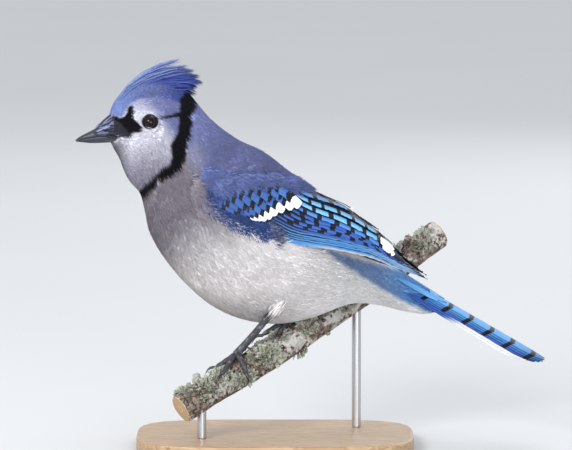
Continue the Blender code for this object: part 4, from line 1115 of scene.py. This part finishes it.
# wide is the half width of a strand's fan at its root, at its tip and of one blade
def growStrands(name, root, bend, tip, side, out, wide, tint, mapPlace, blades=5, rings=5):
    count = len(root)
    fan = (np.linspace(-1, 1, blades)[None, :] + chance.normal(0, 0.15, (count, blades)))[..., None]
    ahead = unit(tip - root)[:, None]
    loose = wide[1] * 0.45
    roots = (root[:, None] + side[:, None] * fan * wide[0]).reshape(-1, 3)
    bends = bend[:, None] + side[:, None] * fan * wide[1]
    bends = (bends + chance.normal(0, loose / 3, (count, blades, 3))).reshape(-1, 3)
    tips = tip[:, None] + side[:, None] * fan * wide[1] * 0.8 - ahead * fan**2 * wide[1]
    tips = (tips + chance.normal(0, loose, (count, blades, 3))).reshape(-1, 3)
    sideOf, outOf = np.repeat(side, blades, 0), np.repeat(out, blades, 0)

    def centre(ring, across, lift):
        t = ring / rings
        at = roots * (1 - t) ** 2 + bends * 2 * t * (1 - t) + tips * t * t
        half = wide[2] * (0.55 + 0.9 * t - 1.25 * t**3) * (ring < rings)
        return at + sideOf * across * half + outOf * lift

    tint = np.repeat(tint * np.clip(chance.normal(1.0, 0.12, (count, 1)), 0.6, 1.4), blades, 0)
    # strands are painted darker at the root: partly grey down, partly painted shade among them
    return buildBlades(name, centre, rings, wide[2] * 0.5, tint, lambda t: 0.75 + 0.32 * t,
                       np.repeat(mapPlace, blades, 0))


crestTips = [(-49.9, 211.4), (-45.9, 207.7), (-42.7, 205.0), (-40.2, 201.7), (-38.3, 198.4), (-41.6, 196.0),
             (-42.1, 192.2)]
crest = dict(count=620, locks=6, rowWide=3.3, headWide=14.0, wide=(0.7, 0.55, 0.32))


def growCrest():
    count = crest["count"]
    order = chance.uniform(0, 1, count) ** 0.9  # 0 at the forehead's strands, 1 at the rearmost
    # tips gather into a few points
    lock = np.clip(np.round(order * crest["locks"]), 0, crest["locks"])
    target = alongLine(crestTips, lock / crest["locks"])
    row = np.clip(chance.normal(0, 1.1, count), -2.3, 2.3)
    place = np.clip(0.9 + 3.3 * order + chance.uniform(-0.9, 0.5, count), 0.45, 4.4)
    angle = row * crest["rowWide"] / crest["headWide"]
    root = hullPoint(bodyStations, place, angle, -1.0)
    ahead = unit(hullPoint(bodyStations, place + 0.15, angle) - hullPoint(bodyStations, place, angle))
    tip = np.stack([target[:, 0], row * 0.9, target[:, 1] - np.abs(row) * 0.5], -1)
    tip = root + (tip - root) * (1 - 0.45 * chance.uniform(0, 1, count) ** 1.6)[:, None]
    loose = 1 - np.linalg.norm(tip - root, axis=-1) / np.linalg.norm(target - root[:, ::2], axis=-1)
    tip = tip + chance.normal(0, 1, (count, 3)) * (0.4 + 3.0 * np.clip(loose, 0, 0.5))[:, None]
    size = np.linalg.norm(tip - root, axis=-1, keepdims=True)
    bend = root + ahead * size * 0.5 + np.array([0, 0, 1.2])
    side = unit(np.array([0.0, 1.0, 0.0]) - ahead * ahead[:, 1:2])
    out = np.cross(side, ahead)
    out = np.where(out[:, 2:3] < 0, -out, out)
    tint = blend(tints["crown"], tints["crownDeep"], smoothStep(order, 0.0, 0.6))
    tint = blend(tint, tints["forehead"], smoothStep(place, 1.6, 0.8))
    tint = blend(tint, tints["black"], smoothStep(order + chance.normal(0, 0.06, count), 0.84, 0.98))
    growStrands("crest", root, bend, tip, side, out, crest["wide"], tint, rootOnMap(place, angle))


# Bill: x, top, mouth line and keel in mm, and half width. The last rows lie along the face to the gape.
billRows = [
    (-107.6, 167.1, 166.8, 166.4, 0.35), (-105.8, 168.6, 167.2, 166.0, 1.1),
    (-103.6, 169.9, 167.7, 165.8, 1.85), (-101.0, 171.2, 168.2, 165.5, 2.5),
    (-97.5, 173.0, 168.8, 165.4, 3.2), (-94.0, 174.6, 169.3, 165.5, 3.9),
    (-90.4, 175.2, 169.3, 165.7, 4.7), (-87.6, 172.6, 168.9, 165.9, 7.2),
    (-84.5, 170.4, 168.4, 166.4, 9.4), (-81.8, 169.0, 168.0, 167.0, 10.6),
    (-80.0, 168.1, 167.7, 167.3, 11.1),
]


# Nasal bristles lie forward from the lores over the bill's root.
bristles = dict(count=460, wide=(0.3, 0.4, 0.17), blades=3, rings=4)
bristlePatch = [(-91.3, 177.6), (-84.8, 177.0), (-79.9, 173.2), (-77.8, 168.3), (-84.8, 167.8),
                (-90.7, 169.4)]


def growBristles():
    low, high = np.min(bristlePatch, 0), np.max(bristlePatch, 0)
    spots = chance.uniform(low, high, (bristles["count"] * 3, 2))
    spots = spots[outlineMark(bristlePatch, spots[:, 0], spots[:, 1], 0.4) > 0.5][:bristles["count"]]
    count = len(spots)
    way = np.where(np.arange(count) % 2, left, right)
    roots = seenPlaces(bodyStations, spots)
    place, angle = roots[:, 0], way * roots[:, 1] * chance.uniform(0.45, 1.0, count) ** 0.6
    root = hullPoint(bodyStations, place, angle, -0.2)
    out = unit(hullPoint(bodyStations, place, angle, 1.0) - root)
    tipX = np.maximum(root[:, 0] - chance.uniform(6.5, 11.0, count), chance.uniform(-98.5, -94.0, count))
    bill = np.array(billRows)
    top, shut, wide = (np.interp(tipX, bill[:, 0], bill[:, k]) for k in (1, 2, 4))
    high = np.clip((root[:, 2] - 167.5) / 12.0, 0.03, 0.97) * chance.uniform(0.75, 1.0, count)
    tip = np.stack([tipX, way * (wide * np.sqrt(1 - high**2) + 0.5) * np.minimum(1, np.abs(angle) * 2.2),
                    shut + (top - shut) * high + 0.5], -1)
    bend = root + (tip - root) * 0.45 + out * 1.3
    side = unit(np.cross(out, tip - root))
    pale = chance.uniform(0, 1, (count, 1)) > 0.72
    shades = np.where(pale, chance.uniform(1.6, 3.6, (count, 1)), chance.uniform(0.1, 0.6, (count, 1)))
    growStrands("nasalBristles", root, bend, tip, side, out, bristles["wide"], tints["bristle"] * shades,
                rootOnMap(place, angle), bristles["blades"], bristles["rings"])


growCrest()
growBristles()
print("crest and bristles grown")

# Eyes: a glossy dark ball with a scaly ring of lids round it. Sizes in mm.
eye = dict(radius=4.2, sunk=2.7, pupil=2.3, lid=3.72, lidThick=0.42, ballRows=28, ballColumns=48,
           lidRows=72, lidColumns=12)


def eyePaint():
    paint = Paint("darkEye", Roughness=0.05, Specular_IOR_Level=0.22)
    off = paint.split(paint.carried("gaze", 1))[0]
    iris = paint.mix(paint.noise(1500.0), (0.010, 0.006, 0.004), (0.030, 0.015, 0.009))
    base = paint.mix(paint.step(off, 0.95, 1.08), (0.002, 0.002, 0.002), iris)
    return paint.feed(Base_Color=paint.mix(paint.step(off, 1.42, 1.6), base, (0.004, 0.004, 0.005)))


def lidPaint():
    paint = Paint("scalyLid", Roughness=0.6, Specular_IOR_Level=0.15)
    scales = paint.cells(1900.0)
    paint.bump(scales, 0.6, 0.0002)
    return paint.feed(Base_Color=paint.mix(scales * 6.0, (0.004, 0.004, 0.006), (0.018, 0.018, 0.026)))


def makeBall(name, at, out, across, over, finish):
    polar = np.linspace(0.02, math.pi - 0.02, eye["ballRows"])[:, None]
    turn = turns(eye["ballColumns"])[None, :]
    ray = (out * np.cos(polar)[..., None] + across * (np.sin(polar) * np.cos(turn))[..., None]
           + over * (np.sin(polar) * np.sin(turn))[..., None])
    rings = at - out * eye["sunk"] + ray * eye["radius"]
    ball, points = tubePiece("eyeball_" + name, rings, finish)
    gaze = np.linalg.norm(np.cross(points - at + out * eye["sunk"], out), axis=-1) / eye["pupil"]
    carry(ball, "gaze", np.stack([gaze, 0 * gaze, 0 * gaze], -1))
    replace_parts(ball, "eye_" + name)


# Lids: a ring round the ball, a little thicker above
def makeLids(name, at, out, across, over, finish):
    rows, columns = eye["lidRows"], eye["lidColumns"]
    turn, tube = turns(rows), turns(columns)
    size = eye["lidThick"] * (1 + 0.25 * np.sin(turn))[:, None]
    reach = (eye["lid"] * (1 + 0.06 * np.cos(turn) ** 2))[:, None] + size * np.cos(tube)
    high = size * np.sin(tube) * 0.9 + 0.05
    ring = (at + (across * np.cos(turn)[:, None] + over * np.sin(turn)[:, None])[:, None] * reach[..., None]
            + out * high[..., None])
    r, c = np.meshgrid(np.arange(rows), np.arange(columns), indexing="ij")
    a, b = r * columns + c, r * columns + (c + 1) % columns
    d, e = (r + 1) % rows * columns + c, (r + 1) % rows * columns + (c + 1) % columns
    corners = np.stack([a, b, e, a, e, d], -1).reshape(-1, 3)
    points = ring.reshape(-1, 3)
    meshPiece("lids_" + name, points, outward(points, corners), finish)


def makeEyes():
    eyeFinish, lidFinish = eyePaint(), lidPaint()
    place, angle = seenPlace(bodyStations, *eyeSpot)
    for name, side in sides.items():
        at = hullPoint(bodyStations, place, side * angle)
        out = unit(hullPoint(bodyStations, place, side * angle, 1.0) - at)
        across = unit(np.cross(out, [0.0, 0.0, 1.0]))
        over = np.cross(across, out)
        makeBall(name, at, out, across, over, eyeFinish)
        makeLids(name, at, out, across, over, lidFinish)


makeEyes()

billShut = 0.12  # mm between its halves
lowerNarrower = 0.93  # the lower half's width against the upper's


def hornPaint():
    paint = Paint("slateHorn", Specular_IOR_Level=0.35, Coat_Weight=0.08, Coat_Roughness=0.25)
    grain = paint.noise(1.0, 3.0, paint.stretched((120.0, 900.0, 900.0)))
    spots = paint.noise(260.0, 3.0)
    paint.bump(grain + spots, 0.25, 0.0002)
    base = paint.mix(grain * 0.5 + spots * 0.5, (0.008, 0.010, 0.015), (0.048, 0.054, 0.074))
    return paint.feed(Base_Color=base, Roughness=0.28 + spots * 0.25)


def makeBill():
    finish = hornPaint()
    rows = catmullRom(billRows, np.linspace(0, len(billRows) - 1, 64))
    turn = turns(32)
    for name, upper in (("upper", True), ("lower", False)):
        x, top, shut, keel, wide = rows.T
        shut = shut + (billShut if upper else -billShut) / 2
        tall = (top - shut) if upper else (shut - keel)
        wideHere = wide * (1.0 if upper else lowerNarrower)
        up = np.sin(turn)[None, :]
        lift = np.where(up > 0, np.abs(up) ** 0.9, 0.0) * tall[:, None]
        across = np.sign(np.cos(turn)) * np.abs(np.cos(turn)) ** 0.75 * wideHere[:, None]
        across = across * (1 - 0.12 * np.where(up < 0, -up, 0))
        z = shut[:, None] + (lift if upper else -lift)
        rings = np.stack([x[:, None] + 0 * up, across, z], -1)
        made, _ = tubePiece("bill_" + name + "_horn", rings, finish)
        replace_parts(made, "bill_" + name)


makeBill()
print("face finished")

# Legs and feet, by the same sizes as the solids
ankles = {"left": (4.2, 83.0, 18.0), "right": (24.0, 88.0, 15.0)}  # x, z and how far out, mm
footAlong = {"left": -19.5, "right": 17.0}  # mm along the branch from its middle
footTurn = {"left": 16.0, "right": 2.0}  # degrees
# direction in degrees, length and claw's length in mm
toes = {
    "inner": (-26.0, 14.0, 6.5), "middle": (10.0, 18.0, 7.0), "outer": (60.0, 15.5, 6.5),
    "hind": (206.0, 11.0, 8.0),
}
# radii in mm, and the gap between foot and bark
limb = dict(tarsus=1.75, toe=1.65, toeTip=1.15, toeShare=0.98, palm=2.1, claw=0.95, gap=0.45)
limbRows = dict(toe=40, claw=20, leg=90)  # rings of points along each
trousers = dict(count=150, wide=(1.1, 1.3, 0.5), blades=4, rings=3, mapStation=11.5)


def perchPoint(along, turn, lift=0.0):
    along, turn, lift = np.broadcast_arrays(along, turn, lift)
    bent = perch["bend"] * (along / perch["ahead"]) ** 2
    middle = perchMiddle + perchAhead * along[..., None] + perchOver * bent[..., None]
    swell = 0.035 * np.sin(along * 0.095 + 1.3) + 0.03 * np.sin(2 * turn + along * 0.04)
    swell = swell + 0.02 * np.sin(3 * turn - along * 0.15)
    out = perchOver * np.cos(turn)[..., None] - perchAcross * np.sin(turn)[..., None]
    return middle + out * (perch["radius"] * (1 + swell) + lift)[..., None]


def scalePaint():
    paint = Paint("scalyLeg", Roughness=0.5, Coat_Weight=0.15, Coat_Roughness=0.3)
    cells = paint.cells(1300.0)
    dust = paint.noise(420.0, 3.0)
    paint.bump(paint.step(cells, 0.0, 0.12), 0.5, 0.0002)
    base = paint.mix(paint.step(cells, 0.0, 0.10), (0.006, 0.006, 0.009), (0.045, 0.043, 0.056))
    return paint.feed(Base_Color=paint.mix(paint.step(dust, 0.56, 0.72), base, (0.17, 0.165, 0.19)))


def clawPaint():
    paint = Paint("clawHorn", Roughness=0.3, Coat_Weight=0.3, Coat_Roughness=0.2)
    grain = paint.noise(700.0, 3.0)
    return paint.feed(Base_Color=paint.mix(grain, (0.006, 0.006, 0.008), (0.035, 0.033, 0.04)))


scaleFinish, clawFinish = scalePaint(), clawPaint()


# Low overlapping plates: each swells to its lower end, then steps in.
def scutes(t, count, depth):
    return 1 + depth * (1 - (t * count % 1.0)) ** 1.5


# One toe's mesh, with its claw as a piece of its own
def makeToe(name, side, toe, direction, length, claw):
    direction = math.radians(direction + footTurn[name])
    low = limb["gap"] + limb["toe"]
    slim = limb["toeTip"] - limb["toe"]

    def toeLine(start, end, steps, lift):
        reach = np.linspace(start, end, steps)
        turn = side * reach * math.sin(direction) / (perch["radius"] + limb["toe"])
        return perchPoint(footAlong[name] - reach * math.cos(direction), turn, lift(np.linspace(0, 1, steps)))

    def toeLift(t):
        return low + slim * t + 0.35 * np.abs(np.sin(t * math.pi * 3)) * 0.5

    def toeReach(row, turn):
        t = row / (limbRows["toe"] - 1.0)
        pads = 1 + 0.14 * np.abs(np.sin(t * math.pi * 3.2)) * np.maximum(0, -np.sin(turn))
        size = (limb["toe"] + slim * t) * limb["toeShare"] * scutes(t, length * 0.9, 0.10)
        return size * pads * np.minimum(1, 6 * (1.02 - t)) ** 0.5

    def clawLift(t):
        arch = 1.7 * np.sin(math.pi * np.minimum(1, t * 1.05))
        return limb["gap"] + limb["claw"] * 0.9 + arch * (1 - 0.3 * t)

    def clawReach(row, turn):
        slimming = (1.02 - row / (limbRows["claw"] - 1.0)) ** 0.7
        return limb["claw"] * slimming * (1 + 0.15 * np.sin(turn))

    over = tuple(perchOver)
    clawLine = toeLine(length - 0.7, length + claw, limbRows["claw"], clawLift)
    rings = ringsRound(clawLine, clawReach, 12, up=over)
    talon, _ = tubePiece("talon_%s_%s" % (name, toe), rings, clawFinish)
    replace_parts(talon, "claw_%s_%s" % (name, toe))
    return tubeMesh(ringsRound(toeLine(0.0, length, limbRows["toe"], toeLift), toeReach, 16, up=over))


def legReach(row, turn):
    t = row / (limbRows["leg"] - 1.0)
    flare = 0.35 * (1 - t) ** 6 + 0.32 * t**5
    front = np.maximum(0, np.cos(turn + 2.2)) ** 0.5
    return limb["tarsus"] * (1 + flare) * (1.0 + (scutes(t, 11, 0.12) - 1) * front)


# Pale trousers round the top of the leg
def growTrousers(name, side, ankle, ahead):
    count = trousers["count"]
    turn = chance.uniform(0, 2 * math.pi, count)
    across = unit(np.cross(ahead, [0.0, 0.0, 1.0]))
    over = np.cross(across, ahead)
    out = across * np.cos(turn)[:, None] + over * np.sin(turn)[:, None]
    high = chance.uniform(-1.5, 4.5, count)[:, None]
    root = ankle + ahead * (high + 1.0) + out * 2.8
    fall = chance.uniform(8.0, 13.0, (count, 1))
    tip = ankle + ahead * (high - fall) + out * chance.uniform(2.0, 3.4, (count, 1))
    bend = (root + tip) / 2 + out * 0.9
    tint = tints["belly"] * chance.uniform(0.55, 0.8, (count, 1))
    mapPlace = np.full(count, trousers["mapStation"] + side) + chance.uniform(0, 0.8, count)
    growStrands("trousers_" + name, root, bend, tip, np.cross(out, ahead), out, trousers["wide"], tint,
                rootOnMap(mapPlace, turn / 4 + side), trousers["blades"], trousers["rings"])


def makeFoot(name, side):
    palm = perchPoint(footAlong[name], 0.0, limb["gap"] + limb["toe"])
    pieces = [makeToe(name, side, toe, *sizes) for toe, sizes in toes.items()]
    polar, turn = np.linspace(0.05, math.pi - 0.05, 14)[:, None], turns(20)[None, :]
    ball = np.stack([np.sin(polar) * np.cos(turn), np.sin(polar) * np.sin(turn),
                     np.cos(polar) + 0 * turn], -1)
    pieces.append(tubeMesh(palm + ball * limb["palm"]))
    points = np.concatenate([piece[0] for piece in pieces])
    starts = np.cumsum([0] + [len(piece[0]) for piece in pieces[:-1]])
    corners = np.concatenate([start + outward(*piece) for start, piece in zip(starts, pieces)])
    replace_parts(meshPiece("toes_" + name, points, corners, scaleFinish), "foot_" + name)
    x, z, out = ankles[name]
    ankle = np.array([x, side * out, z])
    t = np.linspace(0, 1.06, limbRows["leg"])
    line = palm + (ankle - palm) * t[:, None] + np.array([0.6, 0, 0.3]) * np.sin(math.pi * t)[:, None]
    leg, _ = tubePiece("tarsus_" + name, ringsRound(line, legReach, 24), scaleFinish)
    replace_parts(leg, "leg_" + name)
    growTrousers(name, side, ankle, unit(ankle - palm))


for name, side in sides.items():
    makeFoot(name, side)
print("legs and feet made")

# Perch: bark with ridges and cut ends, side twig stubs and leafy lichen
barkRelief = dict(ridge=0.30, lump=0.35, plate=0.28, sunk=0.35, rounded=0.9)  # mm
# mm along the branch, turn in degrees, length and radius in mm
twigStubs = [(-44.0, 70.0, 9.0, 2.3), (34.0, 140.0, 8.0, 1.9), (92.0, -40.0, 9.0, 2.2)]


# Waves of many directions added up, about -1 to 1
def waves(along, turn, seed, count=14):
    mix = np.random.default_rng(seed)
    total = 0.0
    for _ in range(count):
        phase = along * mix.uniform(-0.7, 0.7) + mix.integers(-9, 10) * turn
        total = total + np.sin(phase + mix.uniform(0, 6.3))
    return total / math.sqrt(count)


def barkLift(along, turn):
    ridges = np.abs(waves(along * 0.35, turn, 3)) - 0.6
    plates = smoothStep(waves(along * 1.1, turn, 5), 0.2, 0.9)
    lumps = waves(along * 0.25, turn, 9, 6)
    lift = barkRelief["ridge"] * ridges + barkRelief["lump"] * lumps * 0.5
    return lift - barkRelief["plate"] * plates * 0.5


def barkPaint():
    paint = Paint("lichenedBark", Roughness=0.92, Specular_IOR_Level=0.25)
    fine, broad = paint.noise(520.0, 4.0), paint.noise(95.0, 4.0)
    cracks = paint.maths("ABSOLUTE", paint.noise(150.0, 3.0) - 0.5)
    base = paint.mix(paint.step(fine, 0.25, 0.75), (0.055, 0.040, 0.034), (0.30, 0.235, 0.20))
    base = paint.mix(paint.step(cracks, 0.035, 0.0), base, (0.014, 0.011, 0.010))
    crust = paint.step(broad + (fine - 0.5) * 0.5, 0.50, 0.58)
    base = paint.mix(crust * 0.85, base, paint.mix(fine, (0.30, 0.29, 0.27), (0.62, 0.62, 0.58)))
    rust = paint.step(paint.noise(170.0, 3.0) + (fine - 0.5) * 0.2, 0.64, 0.70)
    base = paint.mix(rust * 0.7, base, (0.20, 0.085, 0.035))
    paint.bump(fine + paint.step(cracks, 0.0, 0.08) + crust * 0.4, 0.7, 0.0005)
    return paint.feed(Base_Color=base)


def cutWoodPaint():
    paint = Paint("cutWood", Roughness=0.8)
    rings = paint.node("TexWave", {"wave_type": "RINGS", "rings_direction": "SPHERICAL"},
                       {"Scale": 1.0, "Distortion": 3.0, "Vector": paint.carried("cutAt", 1)})
    return paint.feed(Base_Color=paint.mix(rings, (0.36, 0.24, 0.13), (0.55, 0.41, 0.26)))


# A twig stub that widens to its foot on the branch
def makeTwigStub(number, at, angle, length, radius, finish):
    angle = math.radians(angle)
    foot, tip = perchPoint(at, angle, -2.5), perchPoint(at + 0.45 * length, angle, length)
    line = foot + (tip - foot) * np.linspace(0, 1, 26)[:, None]

    def reach(row, turn):
        smooth = 0.9 + 0.6 * np.exp(-row / 6.0)
        return radius * (smooth + 0.06 * np.sin(3 * turn + row * 0.6) + 0.05 * np.sin(5 * turn - row))

    tubePiece("twigStub%d" % number, ringsRound(line, reach, 20, up=tuple(perchAhead)), finish)


# Bare wood over a cut end of the branch
def makeCutEnd(name, end, way, turn, finish):
    share = np.array([0.0, 0.35, 0.7, 0.93, 1.0])[:, None]
    rim = perchPoint(end, turn, -1.0)
    centre = rim.mean(0)
    proud = 0.12 + 0.10 * (1 - share[..., None])
    disc = centre + (rim - centre)[None] * share[..., None] + perchAhead * way * proud
    back = centre + (rim - centre)[None] * share[::-1][..., None] - perchAhead * way * 0.8
    made, points = tubePiece("cutEnd_" + name, np.concatenate([disc, back]), finish)
    carry(made, "cutAt", (points - centre) * 0.9)


def makePerch():
    finish = barkPaint()
    rows, columns = 300, 96
    along = np.linspace(-perch["back"], perch["ahead"], rows)[:, None]
    turn = turns(columns)[None, :]
    lift = barkLift(along, turn) - barkRelief["sunk"]
    # the bark rounds over at the cut ends
    rim = np.minimum(along + perch["back"], perch["ahead"] - along)
    rings = perchPoint(along, turn, lift - barkRelief["rounded"] * np.exp(-rim / 0.5))
    bar, _ = tubePiece("bark", rings, finish)
    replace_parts(bar, "perch")
    for k, stub in enumerate(twigStubs):
        makeTwigStub(k + 1, *stub, finish)
    cutFinish = cutWoodPaint()
    makeCutEnd("low", -perch["back"], -1, turn[0], cutFinish)
    makeCutEnd("high", perch["ahead"], 1, turn[0], cutFinish)


# Leafy lichen: clumps of small curled lobes. Along mm, turn in degrees, spread mm, number of lobes
lichenClumps = [
    (-50, -35, 6.5, 90), (-38, -62, 6.0, 80), (-33, -20, 4.5, 50), (-24, -95, 4.5, 50), (-9, -50, 5.5, 90),
    (-4, -85, 5.0, 60), (6, -28, 4.0, 40), (22, -60, 4.5, 50), (36, -35, 4.5, 60), (47, -75, 3.5, 30),
    (62, -20, 5.0, 50), (78, -70, 5.5, 60), (88, 10, 5.0, 50), (104, -45, 6.0, 80), (-55, 60, 5.5, 60),
    (-20, 110, 5.0, 50), (30, 90, 5.0, 50), (70, 120, 5.0, 50), (100, 80, 5.0, 50), (15, 170, 4.0, 30),
]


def lichenPaint():
    paint = Paint("leafyLichen", Roughness=0.95, Specular_IOR_Level=0.2)
    fine = paint.noise(800.0, 3.0)
    paint.bump(fine, 0.5, 0.0003)
    pale = paint.mix(paint.noise(60.0), (0.47, 0.50, 0.39), (0.70, 0.71, 0.63))
    return paint.feed(Base_Color=paint.mix(fine * paint.carried("depth", 2), (0.14, 0.14, 0.10), pale))


lobe = dict(length=(1.4, 3.0), wide=(0.5, 1.1), curl=(0.6, 1.7), thick=0.16, rows=5, clear=2.0)


# Points of one lobe at a spot of the branch, and how pale each is; high is 1 in the clump's middle.
def lichenLobe(along, angle, way, high):
    foot = perchPoint(along, angle, -0.3 + barkLift(along, angle) * 0.5)
    out = unit(perchPoint(along, angle, 1.0) - perchPoint(along, angle, 0.0))
    heading = way + chance.normal(0, 0.7)
    ahead = perchAhead * math.cos(heading) + np.cross(out, perchAhead) * math.sin(heading)
    ahead = unit(ahead - out * (ahead @ out))
    across = np.cross(out, ahead)
    length, wide = chance.uniform(*lobe["length"]), chance.uniform(*lobe["wide"])
    curl = chance.uniform(*lobe["curl"]) + 1.2 * high
    t = np.linspace(0, 1, lobe["rows"])[:, None]
    a = np.array([-1.0, 0.0, 1.0])[None, :]
    forked = wide * (0.5 + 0.9 * t - 0.5 * t**3) * a * (1 + 0.35 * (t > 0.6))
    path = ahead * (length * t * (1 - 0.25 * t))[..., None] + out * (curl * t**1.3 * length * 0.5)[..., None]
    sheet = foot + path + across * forked[..., None] + out * (0.35 * np.abs(a) * t)[..., None]
    sheet = sheet - ahead * ((1 - np.abs(a)) * 0.35 * (t > 0.9))[..., None]
    layers = np.concatenate([sheet.reshape(-1, 3) + out * lobe["thick"], sheet.reshape(-1, 3)])
    return layers, np.tile((0.35 + 0.9 * t + 0 * a).ravel(), 2)


def growLichen():
    points, corners, depth, total = [], [], [], 0
    for at, turn, spread, lobes in lichenClumps:
        for _ in range(lobes):
            far = spread * math.sqrt(chance.uniform(0, 1))
            way = chance.uniform(0, 2 * math.pi)
            along = at + far * math.cos(way) * 1.3
            angle = math.radians(turn) + far * math.sin(way) / perch["radius"]
            if not -perch["back"] + lobe["clear"] < along < perch["ahead"] - lobe["clear"]:
                continue
            layers, pale = lichenLobe(along, angle, way, 1 - far / spread)
            points.append(layers)
            corners.append(sheetFaces(lobe["rows"], 3, total))
            depth.append(pale)
            total += len(layers)
    points, corners = np.concatenate(points), np.concatenate(corners)
    made = meshPiece("lichen", points, outward(points, corners), lichenPaint())
    layer = made.data.attributes.new("depth", "FLOAT", "POINT")
    layer.data.foreach_set("value", np.concatenate(depth).astype(np.float32))


makePerch()
growLichen()
print("perch made")

# Stand: the solids keep their shapes and take a finish.


def woodPaint():
    paint = Paint("oiledWood", Coat_Weight=0.2, Coat_Roughness=0.3)
    grain = paint.noise(1.0, 5.0, paint.stretched((14.0, 120.0, 120.0)))
    pores = paint.noise(1.0, 2.0, paint.stretched((60.0, 900.0, 900.0)))
    lines = paint.maths("FRACT", grain * 9.0)
    base = paint.mix(lines, (0.30, 0.185, 0.095), (0.46, 0.315, 0.18))
    base = paint.mix(paint.step(pores, 0.62, 0.72) * 0.6, base, (0.16, 0.09, 0.045))
    paint.bump(pores, 0.15, 0.0002)
    return paint.feed(Base_Color=base, Roughness=0.38 + pores * 0.2)


def steelPaint():
    paint = Paint("brushedSteel", Metallic=1.0)
    rub = paint.noise(1.0, 3.0, paint.stretched((1500.0, 1500.0, 40.0)))
    base = paint.mix(rub, (0.42, 0.42, 0.43), (0.62, 0.62, 0.63))
    return paint.feed(Base_Color=base, Roughness=0.24 + rub * 0.2)


def dress(node, finish):
    nodes[node].data.materials.clear()
    nodes[node].data.materials.append(finish)


dress("stand_base", woodPaint())
steelFinish = steelPaint()
for rod in ("stand_rod_front", "stand_rod_back"):
    dress(rod, steelFinish)
print("stand finished")

# Camera, lights and floor
sensorWidth = 36.0
camera = bpy.data.objects.new("camera", bpy.data.cameras.new("camera"))
bpy.context.scene.collection.objects.link(camera)
bpy.context.scene.camera = camera
away = Vector((0, -math.cos(view["rise"]), math.sin(view["rise"])))
camera.location = (Vector(view["target"]) + away * view["distance"]) * mm
camera.rotation_euler = (-away).to_track_quat("-Z", "Y").to_euler()
camera.data.sensor_width = sensorWidth
camera.data.lens = sensorWidth * view["distance"] / view["frameWidth"]


# Each lamp: place in m, watts, width in m, tint. All look at the bird.
lamps = {
    "key": ((-0.9, -1.6, 1.0), 27.0, 0.7, (1.0, 0.985, 0.96)),
    "fill": ((0.4, -1.9, 0.25), 18.0, 1.0, (0.95, 0.97, 1.0)),
    "over": ((0.1, 0.2, 1.6), 5.0, 1.0, (0.97, 0.98, 1.0)),
    "rear": ((0.6, 1.6, 0.9), 5.0, 1.0, (0.98, 0.98, 1.0)),
}
lampTarget = Vector((0.0, 0.0, 0.12))
room = dict(tint=(0.90, 0.92, 0.95, 1.0), strength=0.98)


def softLight(name, place, power, size, tint):
    lamp = bpy.data.lights.new(name, "AREA")
    lamp.shape, lamp.size = "DISK", size
    lamp.energy, lamp.color = power, tint
    made = bpy.data.objects.new(name, lamp)
    made.location = place
    made.rotation_euler = (lampTarget - Vector(place)).to_track_quat("-Z", "Y").to_euler()
    bpy.context.scene.collection.objects.link(made)


for name, lamp in lamps.items():
    softLight(name, *lamp)
world = bpy.data.worlds.new("room")
bpy.context.scene.world = world
world.use_nodes = True
world.node_tree.nodes["Background"].inputs["Color"].default_value = room["tint"]
world.node_tree.nodes["Background"].inputs["Strength"].default_value = room["strength"]
bpy.context.scene.view_settings.view_transform = "Standard"


def makeFloor(reach=14.0, edges=48):
    paint = Paint("floorPaper", Roughness=0.95, Specular_IOR_Level=0.1)
    finish = paint.feed(Base_Color=paint.mix(paint.noise(3.0), (0.60, 0.61, 0.62), (0.63, 0.64, 0.65)))
    mesh = bpy.data.meshes.new("floor")
    corners = [(reach * math.cos(turn), reach * math.sin(turn), 0) for turn in turns(edges)]
    mesh.from_pydata(corners, [], [tuple(range(edges))])
    mesh.materials.append(finish)
    floor = bpy.data.objects.new("floor", mesh)
    bpy.context.scene.collection.objects.link(floor)


makeFloor()
